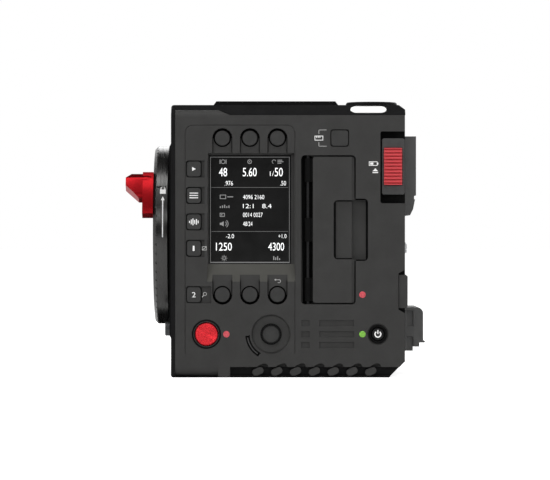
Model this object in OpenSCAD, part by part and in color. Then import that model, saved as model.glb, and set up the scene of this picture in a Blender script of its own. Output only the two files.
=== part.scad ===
// Digital cinema camera body.
// +Z is up, the lens mount faces -X, the battery side faces +X and the operator's panel faces -Y.
// The origin is the mouth of the central tripod thread in the bottom face.

/* [Operator panel, front to rear] */
// Width of the black corner strip ahead of the side covers
strip_w = 1.95; // [1.6:0.05:2.3]
// From the cover's front edge to the middle of the square key column
key_margin = 8.7; // [8.4:0.1:10]
// From the middle of the square key column to the screen well
key_to_well = 6.6; // [6.2:0.1:8]
// Width of the screen well
well_w = 40.3; // [39.5:0.1:46]
// From the screen well to the door recess
well_to_door = 3.1; // [2.8:0.1:5]
// Width of the open hinge band ahead of the door plate
hinge_band_w = 5.5; // [5.2:0.1:6.5]
// Width of the door plate
door_w = 19.3; // [18.5:0.1:23]
// Gap between the door plate and its recess, on the three free sides
door_gap = 0.7; // [0.4:0.05:1]
// Width of the finger pull beside the door
pull_w = 5.7; // [5:0.1:8]
// From the finger pull to the slider pocket
pull_to_slot = 5.8; // [5:0.1:8]
// Width of the slider pocket
slot_w = 11.4; // [11:0.1:14]
// How far the rear wall stands behind the covers
rear_lap = 0.25; // [0.1:0.05:0.5]

/* [Operator panel, bottom to top] */
// Height of the recessed foot band
foot_h = 4.9; // [4.6:0.1:6]
// From the foot band to the middle of the control row
foot_to_control = 15.3; // [15:0.1:18]
// From the control row to the lower soft keys
control_to_lower_row = 18.4; // [17.8:0.1:22]
// From the lower soft keys to the screen well
lower_row_to_well = 14.3; // [13.8:0.1:17]
// Height of the screen well
well_h = 51.7; // [50:0.1:58]
// From the screen well to the upper soft keys
well_to_upper_row = 7; // [6.6:0.1:9]
// From the upper soft keys to the panel's top edge
upper_row_to_top = 10.7; // [10.2:0.1:13]
// Height of the sloped black shoulder above the panel
shoulder_h = 5; // [4:0.1:6]

/* [Body] */
// Width over both side covers
body_w = 112; // [108:1:120]
// Depth of the shoulder slope across the body
shoulder_run = 7.5; // [6.5:0.1:9]
// Thickness of the roof
roof_t = 8.5; // [8:0.1:9.5]
// Thickness of the floor
floor_t = 8; // [7.5:0.1:9]
// Thickness of the side covers
cover_t = 6; // [5.8:0.1:7]
// Length of the cover's taller front block
front_block_w = 25.6; // [24:0.1:27]
// How far the front block rises above the panel's top edge
block_rise = 2.4; // [1.8:0.1:3]

/* [Foot band] */
// Distance between foot fins
fin_pitch = 8.77; // [8.4:0.01:9]
// From the front block to the first fin
fin_margin = 13; // [11:0.1:14]

/* [Screen] */
// Depth of the screen well
well_depth = 2.8; // [2.5:0.1:3.1]
// Height of the sloped sill under the screen
sill_h = 8.2; // [7.5:0.1:9]

/* [Keys] */
// Radius of a soft key's cap
soft_r = 3.45; // [3.2:0.05:3.6]
// Radius of the arch round a soft key
soft_arch_r = 4.65; // [4.4:0.05:5]
// Distance between soft keys
soft_pitch = 12.85; // [12.4:0.05:13.2]
// Width of a square key
key_w = 6.5; // [6.2:0.1:6.8]
// Height of a square key
key_h = 7.1; // [6.8:0.1:7.6]
// Distance between square keys
key_pitch = 12.33; // [12:0.05:13]
// From the top of the well down to the middle of the first square key
key_drop = 7.4; // [6.6:0.1:8.4]

/* [Controls] */
// Radius of the record button's cap
record_r = 5.4; // [5:0.1:5.6]
// Outer radius of the record button's bezel
record_bezel_r = 6.8; // [6.6:0.1:7.2]
// Radius of the small lamps
lamp_r = 1.5; // [1.3:0.05:1.6]
// Radius of the dial's dish
dish_r = 9.2; // [8.8:0.1:9.6]
// Depth of the dial's dish
dish_depth = 1.6; // [1.3:0.1:1.8]
// Radius of the dial knob
dial_r = 4.9; // [4.6:0.1:5.2]
// Height of the dial knob
dial_h = 2.8; // [2.4:0.1:3.4]
// Radius of the power button's cap
power_r = 2.9; // [2.7:0.1:3]
// Outer radius of the power button's bezel
power_bezel_r = 4.3; // [4.2:0.1:4.5]

/* [Media door] */
// Thickness of the door plate
door_t = 3; // [2.8:0.1:3.2]
// Height of the finger pull
pull_h = 29; // [26:0.5:32]
// Thickness of the media cartridge
cartridge_t = 9.5; // [9:0.1:10]
// Height of the media cartridge
cartridge_h = 64; // [62:0.5:65]
// Length of the media cartridge
cartridge_len = 84; // [80:0.5:86]

/* [Battery slider] */
// From the panel's top edge to the slider pocket
slot_drop = 7.6; // [6.5:0.1:9]
// Height of the slider pocket
slot_h = 33.5; // [33:0.1:37]
// Depth of the slider pocket
slot_depth = 4; // [3.7:0.1:4.3]
// Height of the slider carriage
carriage_h = 26.2; // [24:0.1:26.6]
// Travel of the slider
slider_travel = 3.6; // [3:0.1:3.9]
// Height of the ribbed grip
grip_h = 17.2; // [16:0.1:19]
// Width of the ribbed grip
grip_w = 8.4; // [8:0.1:9.2]

/* [Battery mount] */
// From the panel's top edge to the receiver's top
receiver_drop = 9.3; // [8:0.1:11]
// Height of the receiver
receiver_h = 37.2; // [34:0.1:38]
// Thickness of the receiver
receiver_t = 5.75; // [5.6:0.05:6.2]
// Width of the wedge seat at its top
wedge_top_w = 46; // [43:0.5:48]
// Width of the wedge seat at its foot
wedge_foot_w = 28; // [26:0.5:30]
// Bottom of the contact block
contact_z0 = 11.5; // [10.5:0.1:12]
// Height of the contact block
contact_h = 20.6; // [20:0.1:21]
// How far the contact block stands behind the body
contact_reach = 9.55; // [9:0.05:10]
// Width of the contact block
contact_w = 52; // [48:0.5:56]
// Height of the battery pad
pad_h = 15.8; // [14:0.1:16.5]
// How far the latch stands out of the rear wall
latch_reach = 2.6; // [2.5:0.1:2.9]

/* [Lens mount] */
// Height of the lens axis
lens_z = 66.5; // [65.5:0.1:67.5]
// Radius of the throat
throat_r = 27; // [26:0.1:27.5]
// Outer radius of the lock ring
ring_r = 42.7; // [42:0.1:43]
// Length of the lock ring
ring_len = 7.4; // [7:0.1:8]
// Wall of the lock ring
ring_t = 4.3; // [4:0.1:4.6]
// Distance of the flange face ahead of the body
flange_reach = 5.35; // [5.2:0.05:5.5]
// Outer radius of the steel flange
flange_r = 35; // [34.4:0.1:35.4]
// Width of the raised front plate
plate_w = 95; // [92:0.5:98]
// Height of the raised front plate
plate_h = 92.8; // [90:0.1:95]
// Angle of the lever above the horizontal
lever_angle = 29; // [25:1:33]
// Length of the lever along the ring's rim
lever_len = 22.4; // [20:0.1:24]
// How far the lever's tab stands ahead of the ring
lever_reach = 13.1; // [12:0.1:14]

/* [Top] */
// Length of the accessory plate
top_plate_len = 60.5; // [58:0.5:62]
// Width of the accessory plate
top_plate_w = 50; // [48:0.5:54]
// How far the accessory plate stands out of the roof
top_plate_proud = 2.7; // [2.3:0.1:3]
// Radius of the round top cap
cap_r = 12.1; // [11.5:0.1:12.4]

/* [Base] */
// Length of the base plate
base_len = 62; // [58:0.5:66]
// Width of the base plate
base_w = 54; // [50:0.5:58]

/* [Inner pieces] */
// Side of the square fan
fan_size = 48; // [46:0.5:49]
// Thickness of the fan
fan_t = 12; // [11:0.1:13]

/* [Hidden] */
$fn = 64;

// Colours of the finishes
black_paint = [0.04, 0.04, 0.045];
cover_grey = [0.2, 0.2, 0.205];
key_grey = [0.26, 0.26, 0.265];
screen_black = [0.03, 0.035, 0.04];
steel = [0.62, 0.62, 0.64];
red_metal = [0.62, 0.06, 0.08];
carriage_grey = [0.42, 0.43, 0.45];
board_green = [0.05, 0.2, 0.12];
gold = [0.8, 0.62, 0.25];

// Minor sizes of the parts named
media_key_inset = 6.8;
media_key_w = 7.9;
media_key_h = 7.3;
block_edge_r = 3.4;
lever_root = 5.1;
flange_focal = 34.0;
cap_inset_x = 14.8;
record_margin = 14.6;
dial_inset = 10.9;
power_inset = 12.6;
ring_gap = 0.65;
sensor_w = 32.0;
sensor_h = 24.0;
cap_inset_y = 30.0;
receiver_w = 72.0;
front_button_r = 3.3;
key_travel = 0.6;
record_travel = 0.8;
channel_depth = 1.1;
front_t = 3.5;
rear_t = 4.0;
top_hole_x = 36.0;
top_hole_y = 32.0;
three_eighths_r = 4.0;
quarter_r = 2.6;
base_t = 6.0;
fan_shaft_r = 1.5;
cage_t = 1.5;
hinge_pin_r = 0.75;
knuckle_r = 1.55;
board_t = 1.4;
cap_h = 2.0;
flange_t = 1.8;
pull_depth = 4.5;
rib_pitch = 1.56;
grip_proud = 0.6;
ramp_w = 5.6;
front_corner_r = 1.2;
rear_foot_run = 7.6;
rear_foot_rise = 7.7;
rear_top_run = 2.8;
rear_top_drop = 2.3;
seam = 0.12;
band_depth = 3;
sole_t = 0.7;
fin_r = 1.7;
fin_len = 2.1;
sill_flare = 0.6;
glass_margin_front = 0.4;
glass_margin_rear = 1.6;
glass_margin_top = 0.9;
glass_margin_low = 0.15;
glass_t = 1.2;
lcd_t = 2.6;
lcd_rim = 1.1;
soft_shift = 0.6;
key_corner_r = 1.3;
key_gap = 0.4;
soft_gap = 0.65;
key_flange = 1.2;
key_web_t = 2;
record_lamp_reach = 9.3;
dial_stem_r = 1.9;
lamp_column = 3.1;
door_below_keys = 4.5;
door_below_well = 1;
door_corner_r = 1.9;
hinge_sink = 1.9;
hinge_inset = 3.2;
door_pull_depth = 1.5;
door_pull_w = 9.6;
cartridge_gap = 0.4;
carriage_head = 3.2;
wedge_lip = 2.2;
pad_t = 1.05;
latch_w = 12;
latch_h = 8;
lip_t = 1.2;
lip_r = 35.6;
plate_t = 0.9;
front_button_reach = 3.5;
top_plate_gap = 3.0;
top_plate_slope = 2;
base_hole_x = 40;
pillar_h = 1.1;
switch_h = 0.3;
sensor_t = 2.7;
fan_hub_r = 10;
screw_r = 2;
screw_h = 1.4;

// One overrun serves all cuts
over = 0.5;
// Small clearance between fixed pieces that lie one in another
fit_gap = 0.1;
// Radial clearance of a running shaft
running_gap = 0.05;

// Places along the body, front to rear
body_len = strip_w + key_margin + key_to_well + well_w + well_to_door + hinge_band_w + door_w
  + door_gap + pull_w + pull_to_slot + slot_w + rear_lap;
x0 = -body_len / 2;
x1 = body_len / 2;
cover_x0 = x0 + strip_w;
key_x = cover_x0 + key_margin;
well_x0 = key_x + key_to_well;
well_x1 = well_x0 + well_w;
door_x0 = well_x1 + well_to_door;
door_plate_x0 = door_x0 + hinge_band_w;
door_plate_x1 = door_plate_x0 + door_w;
door_x1 = door_plate_x1 + door_gap;
pull_x1 = door_x1 + pull_w;
slot_x0 = pull_x1 + pull_to_slot;
cover_x1 = slot_x0 + slot_w;
block_x1 = cover_x0 + front_block_w;
ramp_x0 = block_x1 - ramp_w;

// Places up the body
control_z = foot_h + foot_to_control;
keys_low_z = control_z + control_to_lower_row;
well_z0 = keys_low_z + lower_row_to_well;
well_z1 = well_z0 + well_h;
keys_up_z = well_z1 + well_to_upper_row;
panel_z1 = keys_up_z + upper_row_to_top;
body_h = panel_z1 + shoulder_h;
sill_z0 = well_z0 - sill_h;
ceiling_z = body_h - roof_t;

// Places across the body
panel_y = -body_w / 2;
back_y = panel_y + cover_t;
right_back_y = -back_y;
well_y = panel_y + well_depth;
channel_y = panel_y + channel_depth;
key_web_y = channel_y + key_web_t;
key_board_y = back_y + pillar_h;

// Inside of the chassis
inner_x0 = x0 + front_t;
inner_x1 = x1 - rear_t;

// Glass and display
glass_x0 = well_x0 + glass_margin_front;
glass_x1 = well_x1 - glass_margin_rear;
glass_z0 = well_z0 + glass_margin_low;
glass_z1 = well_z1 - glass_margin_top;
lcd_y0 = well_y + glass_t + fit_gap;

// Key stack
switch_gap = 0.1;
flange_t_key = 0.8;
flange_seat_gap = 0.1;
counterbore_gap = 0.3;
key_stem_r = 1.5;
key_cap_sink = 0.3;
stem_end_y = key_board_y - switch_h - key_travel - switch_gap;
soft_hole_r = soft_r + soft_gap;

// Controls
record_x = cover_x0 + record_margin;
record_lamp_x = record_x + record_lamp_reach;
dial_x = well_x1 - dial_inset;
power_x = cover_x1 - power_inset;
lamp_x = door_x1 + lamp_column;
media_key_x = door_plate_x1 - media_key_inset;

// Media bay
door_z0 = keys_low_z - door_below_keys;
door_z1 = well_z1 - door_below_well;
door_mid_z = (door_z0 + door_z1) / 2;
door_seat_gap = 0.2;
door_y0 = panel_y + door_seat_gap;
door_y1 = door_y0 + door_t;
door_floor_y = door_y1 + door_seat_gap;
hinge_x = door_x0 + hinge_inset;
hinge_y = panel_y + hinge_sink;
pin_reach = 3;
cartridge_x = (door_plate_x0 + door_plate_x1) / 2;
cartridge_sink = 1;
cartridge_y0 = door_y1 + cartridge_sink;
bay_x0 = cartridge_x - cartridge_t / 2 - cartridge_gap;
bay_x1 = cartridge_x + cartridge_t / 2 + cartridge_gap;
bay_z0 = door_mid_z - cartridge_h / 2 - cartridge_gap;
bay_z1 = door_mid_z + cartridge_h / 2 + cartridge_gap;
cage_x0 = bay_x0 - cage_t;
cage_x1 = bay_x1 + cage_t;
cage_y1 = cartridge_y0 + cartridge_len + cartridge_gap + cage_t;

// Battery slider
slot_z1 = panel_z1 - slot_drop;
slot_z0 = slot_z1 - slot_h;
carriage_z1 = slot_z1 - carriage_head;
carriage_z0 = carriage_z1 - carriage_h;
carriage_gap = 0.35;
carriage_sink = 0.8;
carriage_y0 = panel_y + carriage_sink;
carriage_y1 = panel_y + slot_depth - fit_gap;
grip_x = (slot_x0 + cover_x1) / 2 + carriage_gap / 2;
grip_z = (carriage_z0 + carriage_z1) / 2;

// Battery side
receiver_z1 = panel_z1 - receiver_drop;
receiver_z0 = receiver_z1 - receiver_h;
receiver_x1 = x1 + receiver_t;
contact_z1 = contact_z0 + contact_h;
latch_z = (contact_z1 + pad_h + receiver_z0) / 2;

// Lens mount, front to rear
ring_x1 = x0 - plate_t - ring_gap;
ring_x0 = ring_x1 - ring_len;
flange_x = x0 - flange_reach;
flange_back_x = flange_x + flange_t;
ring_inner_r = ring_r - ring_t;
mount_base_r = ring_inner_r - fit_gap;
spigot_r = 33;
plate_z0 = body_h / 2 - plate_h / 2;
plate_z1 = body_h / 2 + plate_h / 2;
sensor_x = flange_x + flange_focal;
sensor_board_x = sensor_x + sensor_t;
main_board_gap = 3.8;
main_board_x = sensor_board_x + board_t + main_board_gap;

// Fan behind the right cover's slots
fan_y1 = right_back_y - fit_gap;
fan_y0 = fan_y1 - fan_t;
fan_x = cage_x0 - fan_size / 2 - 9 * fit_gap;
fan_bore_r = fan_size / 2 - cage_t;

// Top and bottom
cap_x = cover_x1 - cap_inset_x;
cap_y = panel_y + cap_inset_y;
top_plate_x1 = cap_x - cap_r - top_plate_gap;
top_plate_x0 = top_plate_x1 - top_plate_len;
top_plate_x = (top_plate_x0 + top_plate_x1) / 2;
top_plate_sink = 4;
base_z1 = base_t;

// Points of an arc, in degrees from the first axis
function arc(cx, cy, r, a0, a1, n = 8) = [
  for (i = [0:n]) [cx + r * cos(a0 + (a1 - a0) * i / n), cy + r * sin(a0 + (a1 - a0) * i / n)]
];

// Outline of a rectangle with round corners
function rounded(xa, xb, za, zb, r) = concat(
  arc(xb - r, zb - r, r, 0, 90),
  arc(xa + r, zb - r, r, 90, 180),
  arc(xa + r, za + r, r, 180, 270),
  arc(xb - r, za + r, r, 270, 360)
);

// Outline of a capsule that slants by an angle
function capsule(cx, cz, length, r, slant) = concat(
  arc(cx - length / 2 * cos(slant), cz - length / 2 * sin(slant), r, slant + 90, slant + 270),
  arc(cx + length / 2 * cos(slant), cz + length / 2 * sin(slant), r, slant - 90, slant + 90)
);

// Outline of a part of a ring
function ring_sector(cx, cz, ra, rb, a0, a1, n = 12) = concat(
  arc(cx, cz, rb, a0, a1, n),
  arc(cx, cz, ra, a1, a0, n)
);

// An outline in X and Z, drawn out across the body
module along_y(ya, yb) {
  translate([0, yb, 0]) rotate([90, 0, 0]) linear_extrude(height = yb - ya) children();
}

// An outline in Y and Z, drawn out along the body
module along_x(xa, xb) {
  translate([xa, 0, 0]) rotate([90, 0, 90]) linear_extrude(height = xb - xa) children();
}

// An outline in X and Y, drawn upwards
module along_z(za, zb) {
  translate([0, 0, za]) linear_extrude(height = zb - za) children();
}

module slab(xa, xb, ya, yb, za, zb) {
  translate([xa, ya, za]) cube([xb - xa, yb - ya, zb - za]);
}

module rod_x(y, z, r, xa, xb) {
  along_x(xa, xb) translate([y, z]) circle(r);
}

module rod_y(x, z, r, ya, yb) {
  along_y(ya, yb) translate([x, z]) circle(r);
}

module rod_z(x, y, r, za, zb) {
  along_z(za, zb) translate([x, y]) circle(r);
}

// A frame on the operator's side whose own Z axis points out of the panel
module facing_left(x, y, z) {
  translate([x, y, z]) rotate([90, 0, 0]) children();
}

// A frame whose own Z axis points ahead of the lens mount
module facing_front(x) {
  translate([x, 0, lens_z]) rotate([0, -90, 0]) children();
}

// The same form on both sides of the body
module both_sides() {
  children();
  mirror([0, 1, 0]) children();
}

// Places of the repeated pieces
function soft_x(i) = (well_x0 + well_x1) / 2 - soft_shift + (i % 3 - 1) * soft_pitch;
function soft_z(i) = i < 3 ? keys_up_z : keys_low_z;
function column_z(i) = i < 4 ? well_z1 - key_drop - i * key_pitch : keys_low_z;
function fin_x(i) = block_x1 + fin_margin + i * fin_pitch;
fin_count = 7;
fin_z = (sole_t + foot_h) / 2;
fin_slant = 24;
cover_screw_inset = 5;
side_screw_xs = [cover_x0 + cover_screw_inset, cover_x1 - 2 * cover_screw_inset];
side_screw_zs = [foot_h + cover_screw_inset / 2, panel_z1 - cover_screw_inset / 2];
plate_screw_inset = 4;
top_screws = [for (i = [-1, 1], j = [-1, 1])
  [top_plate_x + i * (top_plate_len / 2 - plate_screw_inset - top_plate_slope),
  j * (top_plate_w / 2 - plate_screw_inset)]];
base_screws = [for (i = [-1, 1], j = [-1, 1])
  [i * (base_len / 2 - plate_screw_inset), j * (base_w / 2 - plate_screw_inset)]];
receiver_screw_zs = [receiver_z0 + 2 * plate_screw_inset, receiver_z1 - plate_screw_inset];
receiver_screws = [for (i = [-1, 1], z = receiver_screw_zs)
  [i * (receiver_w / 2 - plate_screw_inset), z]];
mount_screw_count = 6;
mount_screw_pcr = (throat_r + flange_r) / 2;
mount_screw_r = 1.5;
mount_screw_h = 1.1;
function around(i, n, r, turn = 0) = [r * cos(360 * i / n + turn), r * sin(360 * i / n + turn)];

// Side view of the body
body_outline = concat(
  arc(x0 + front_corner_r, body_h - front_corner_r, front_corner_r, 180, 90, 4),
  [[x1 - rear_top_run, body_h], [x1, body_h - rear_top_drop]],
  [[x1, rear_foot_rise], [x1 - rear_foot_run, 0]],
  arc(x0 + front_corner_r, front_corner_r, front_corner_r, 270, 180, 4)
);

// Front view of the body with its sloped shoulders
shoulder_outline = [
  [panel_y, 0], [panel_y, panel_z1], [panel_y + shoulder_run, body_h],
  [-panel_y - shoulder_run, body_h], [-panel_y, panel_z1], [-panel_y, 0]
];

// Side view of a cover, grown by g for the pocket that takes it
sole_gap = 0.3;
function cover_outline(g) = [
  [cover_x0 - g, sole_gap - g], [block_x1 + g, sole_gap - g], [block_x1 + g, foot_h - g],
  [x1 - rear_foot_run + rear_foot_run * foot_h / rear_foot_rise - rear_lap + g, foot_h - g],
  [cover_x1 + g, rear_foot_rise - g], [cover_x1 + g, panel_z1 + g], [block_x1 + g, panel_z1 + g],
  [ramp_x0 + g, panel_z1 + block_rise + g], [cover_x0 - g, panel_z1 + block_rise + g]
];

module cover_blank() {
  block_top = panel_z1 + block_rise;
  foot_r = foot_h - sole_gap;
  difference() {
    along_y(panel_y, back_y) polygon(cover_outline(0));
    // round upper edge of the front block
    along_x(cover_x0 - over, block_x1 + over) polygon(concat(
      [[panel_y - over, block_top + over], [panel_y - over, block_top - block_edge_r]],
      arc(panel_y + block_edge_r, block_top - block_edge_r, block_edge_r, 180, 90),
      [[panel_y + block_edge_r, block_top + over]]
    ));
    // round foot of the front block
    along_x(cover_x0 - over, ramp_x0) polygon(concat(
      [[panel_y - over, sole_gap - over], [panel_y + foot_r, sole_gap - over]],
      arc(panel_y + foot_r, foot_h, foot_r, 270, 180),
      [[panel_y - over, foot_h]]
    ));
    // notch for the bracket across the back
    along_y(panel_y - over, back_y + over) polygon([
      [cover_x1 + over, pad_z0 - pad_notch_rise], [cover_x1 + over, pad_z1 + pad_notch_rise],
      [pad_x0 - fit_gap, pad_z1 + pad_notch_step], [pad_x0 - fit_gap, pad_z0 - pad_notch_step]
    ]);
  }
}

module chassis() {
  color(black_paint) difference() {
    intersection() {
      along_y(panel_y, -panel_y) polygon(body_outline);
      along_x(x0 - over, x1 + over) polygon(shoulder_outline);
    }
    slab(inner_x0, inner_x1, back_y - over, -back_y + over, floor_t, ceiling_z);
    both_sides() {
      along_y(panel_y - over, back_y) polygon(cover_outline(seam));
      slab(cover_x1 - over, x1 + over, panel_y - over, back_y, rear_foot_rise, panel_z1 + seam);
      slab(block_x1, x1 + over, panel_y - over, panel_y + band_depth, sole_t, foot_h);
    }
    // front wall
    rod_x(0, lens_z, spigot_r + fit_gap, x0 - over, inner_x0 + over);
    rod_x(front_button_y, front_button_z, front_button_r + key_gap, x0 - over, inner_x0 + over);
    // rear wall
    slab(inner_x1 - over, x1 + over, -latch_w / 2 - carriage_gap, latch_w / 2 + carriage_gap,
      latch_z - latch_h / 2 - carriage_gap, latch_z + latch_h / 2 + carriage_gap);
    // roof and floor
    slab(top_plate_x0 - fit_gap, top_plate_x1 + fit_gap, -top_plate_w / 2 - fit_gap,
      top_plate_w / 2 + fit_gap, body_h - top_plate_sink, body_h + over);
    slab(-base_len / 2 - fit_gap, base_len / 2 + fit_gap, -base_w / 2 - fit_gap,
      base_w / 2 + fit_gap, -over, base_z1);
    screw_shanks();
  }
}

module left_side_cover() {
  color(cover_grey) {
    difference() {
      cover_blank();
      screen_cuts();
      key_cuts();
      control_cuts();
      media_bay_cuts();
      slider_cuts();
      groove_cuts();
      fin_notches();
    }
    dial_mark();
    board_pillars();
  }
}

module screen_cuts() {
  slab(well_x0, well_x1, panel_y - over, well_y, well_z0, well_z1);
  intersection() {
    along_x(well_x0 - sill_h, well_x1 + sill_h) polygon([
      [panel_y - over, well_z0 + over], [panel_y - over, sill_z0], [panel_y, sill_z0],
      [well_y, well_z0], [well_y, well_z0 + over]
    ]);
    along_y(panel_y - 2 * over, well_y + over) polygon([
      [well_x0, well_z0 + over], [well_x0, well_z0], [well_x0 - sill_flare, sill_z0 - over],
      [well_x1 + sill_flare, sill_z0 - over], [well_x1, well_z0], [well_x1, well_z0 + over]
    ]);
  }
  slab(glass_x0 - fit_gap, glass_x1 + fit_gap, panel_y, lcd_y0, glass_z0 - fit_gap, glass_z1 + fit_gap);
  slab(glass_x0 - lcd_rim - fit_gap, glass_x1 + lcd_rim + fit_gap, well_y + glass_t, back_y + over,
    glass_z0 - lcd_rim - fit_gap, glass_z1 + lcd_rim + fit_gap);
}

module key_cuts() {
  for (i = [0:5]) {
    upper = i < 3;
    along_y(panel_y - over, channel_y) polygon(upper
      ? concat(arc(soft_x(i), soft_z(i), soft_arch_r, 0, 180),
        [[soft_x(i) - soft_arch_r, well_z1 - over], [soft_x(i) + soft_arch_r, well_z1 - over]])
      : concat(arc(soft_x(i), soft_z(i), soft_arch_r, 180, 360),
        [[soft_x(i) + soft_arch_r, well_z0 - over], [soft_x(i) - soft_arch_r, well_z0 - over]]));
    along_y(channel_y - over, key_web_y + over)
      polygon(arc(soft_x(i), soft_z(i), soft_arch_r, upper ? 0 : 180, upper ? 180 : 360));
    // narrow groove along both sides of the channel
    for (side = [-1, 1]) {
      x = soft_x(i) + side * (soft_arch_r - arch_groove_w / 2);
      slab(x - arch_groove_w / 2, x + arch_groove_w / 2, channel_y - over, channel_y + arch_groove_depth,
        upper ? well_z1 - over : soft_z(i), upper ? soft_z(i) : sill_z0 + over);
    }
    rod_y(soft_x(i), soft_z(i), soft_hole_r, channel_y - over, key_web_y + over);
    rod_y(soft_x(i), soft_z(i), soft_r + key_flange + counterbore_gap, key_web_y, back_y + over);
  }
  for (i = [0:4]) {
    reach = i < 4 ? well_x0 + over : soft_x(3) - soft_arch_r - over;
    slab(key_x, reach, panel_y - over, channel_y, column_z(i) - key_h / 2 - key_gap,
      column_z(i) + key_h / 2 + key_gap);
    square_key_hole(key_x, column_z(i), key_w, key_h);
  }
  square_key_hole(media_key_x, keys_up_z, media_key_w, media_key_h);
}

// Hole and hidden counterbore of a key with round corners
module square_key_hole(x, z, w, h) {
  hole_w = w / 2 + key_gap;
  hole_h = h / 2 + key_gap;
  back_w = w / 2 + key_flange + counterbore_gap;
  back_h = h / 2 + key_flange + counterbore_gap;
  along_y(panel_y - over, key_web_y + over) polygon(
    rounded(x - hole_w, x + hole_w, z - hole_h, z + hole_h, key_corner_r));
  slab(x - back_w, x + back_w, key_web_y, back_y + over, z - back_h, z + back_h);
}

module control_cuts() {
  // record button and its lamp
  rod_y(record_x, control_z, record_bezel_r + running_gap, panel_y - over, back_y + over);
  lamp_hole(record_lamp_x, control_z);
  lamp_hole(lamp_x, keys_low_z);
  lamp_hole(lamp_x, control_z);
  // dial
  facing_left(dial_x, panel_y, control_z) rotate_extrude() polygon([
    [0, -dish_depth], [dish_floor_r, -dish_depth], [dish_r, 0], [dish_r, over], [0, over]
  ]);
  rod_y(dial_x, control_z, dial_stem_r + counterbore_gap, panel_y, back_y + over);
  slab(dial_x - encoder_w / 2 - fit_gap, dial_x + encoder_w / 2 + fit_gap, encoder_y0 - fit_gap,
    back_y + over, control_z - encoder_w / 2 - fit_gap, control_z + encoder_w / 2 + fit_gap);
  along_y(panel_y - over, panel_y + dial_mark_depth) polygon(
    ring_sector(dial_x, control_z, dial_mark_r0, dial_mark_r1, dial_mark_a0, dial_mark_a1));
  // power button
  rod_y(power_x, control_z, power_bezel_r + running_gap, panel_y - over, back_y + over);
  rod_y(power_x, control_z, power_bezel_r + power_step_w, panel_y - over, panel_y + power_step_depth);
}

arch_groove_w = 0.4;
arch_groove_depth = 1.0;
dish_floor_r = dish_r - dish_depth / 2;
encoder_w = 11;
encoder_t = 3.9;
encoder_y0 = key_board_y - encoder_t;
dial_mark_depth = 1.5;
dial_mark_gap = 1.2;
dial_mark_w = 1.6;
dial_mark_r0 = dish_r + dial_mark_gap;
dial_mark_r1 = dial_mark_r0 + dial_mark_w;
dial_mark_a0 = 184;
dial_mark_a1 = 240;
dial_mark_line = 0.9;
power_step_w = 0.6;
power_step_depth = 0.6;

module lamp_hole(x, z) {
  rod_y(x, z, lamp_r + running_gap, panel_y - over, back_y + over);
}

// Light arc beside the dial, standing in its slot
module dial_mark() {
  middle = (dial_mark_r0 + dial_mark_r1) / 2;
  along_y(panel_y + fit_gap, panel_y + dial_mark_depth + over) polygon(ring_sector(
    dial_x, control_z, middle - dial_mark_line / 2, middle + dial_mark_line / 2,
    dial_mark_a0 + 4, dial_mark_a1 - 4));
}

module media_bay_cuts() {
  along_y(panel_y - over, door_floor_y) polygon(rounded(door_x0, door_x1, door_z0, door_z1, door_corner_r));
  // deep band behind the hinge
  slab(door_x0 + band_wall, door_plate_x0, panel_y, back_y - band_wall, door_z0 + band_wall,
    door_z1 - band_wall);
  // mouth of the bay
  slab(bay_x0, bay_x1, panel_y, back_y + over, bay_z0, bay_z1);
  // finger pull
  along_y(panel_y - over, panel_y + pull_depth) polygon(rounded(
    door_x1 - door_corner_r, pull_x1, door_mid_z - pull_h / 2, door_mid_z + pull_h / 2, door_corner_r));
  // hinge pin seats
  rod_z(hinge_x, hinge_y, hinge_pin_r + running_gap, door_z0 - pin_reach, door_z1 + pin_reach);
}

band_wall = 0.8;

module slider_cuts() {
  along_y(panel_y - over, panel_y + slot_depth) polygon(rounded(
    slot_x0, cover_x1 + 4 * over, slot_z0, slot_z1, 2 * over));
}

groove_h = 2.8;
groove_depth = 0.5;
groove_pitch = 5.1;
groove_short_w = 3.8;
groove_gap_w = 4.5;
groove_long_w = 16.2;
groove_inset = 0.15;
groove_x0 = door_x0 + groove_inset;
island_inset = 4.5;
island_rear = 0.4;
island_drop = 4.5;
island_foot = 6.3;
island_r = 3.7;
island_line = 0.4;
island_depth = 0.2;

module groove_cuts() {
  for (i = [-1:1]) {
    za = control_z + i * groove_pitch - groove_h / 2;
    slab(groove_x0, groove_x0 + groove_short_w, panel_y - over, panel_y + groove_depth, za, za + groove_h);
    long_x0 = groove_x0 + groove_short_w + groove_gap_w;
    slab(long_x0, long_x0 + groove_long_w, panel_y - over, panel_y + groove_depth, za, za + groove_h);
  }
  // line that frames the key island on three sides
  ia = cover_x0 + island_inset;
  ib = well_x1 + island_rear;
  top = panel_z1 - island_drop;
  foot = foot_h + island_foot;
  along_y(panel_y - over, panel_y + island_depth) difference() {
    polygon(island_arch(ia, ib, foot, top, island_r));
    polygon(island_arch(ia + island_line, ib - island_line, foot - over, top - island_line,
      island_r - island_line));
  }
}

function island_arch(xa, xb, za, zb, r) = concat(
  arc(xb - r, zb - r, r, 0, 90), arc(xa + r, zb - r, r, 90, 180), [[xa, za], [xb, za]]
);

module fin_notches() {
  for (i = [0:fin_count - 1]) {
    along_y(panel_y - over, panel_y + band_depth) polygon(
      capsule(fin_x(i) + fin_len, fin_z + fin_r, fin_len, fin_r, fin_slant));
  }
}

// Pillars on the back of the cover that carry the key board
module board_pillars() {
  for (p = pillar_places) {
    rod_y(p[0], p[1], pillar_r, back_y - over, key_board_y);
  }
}

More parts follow.
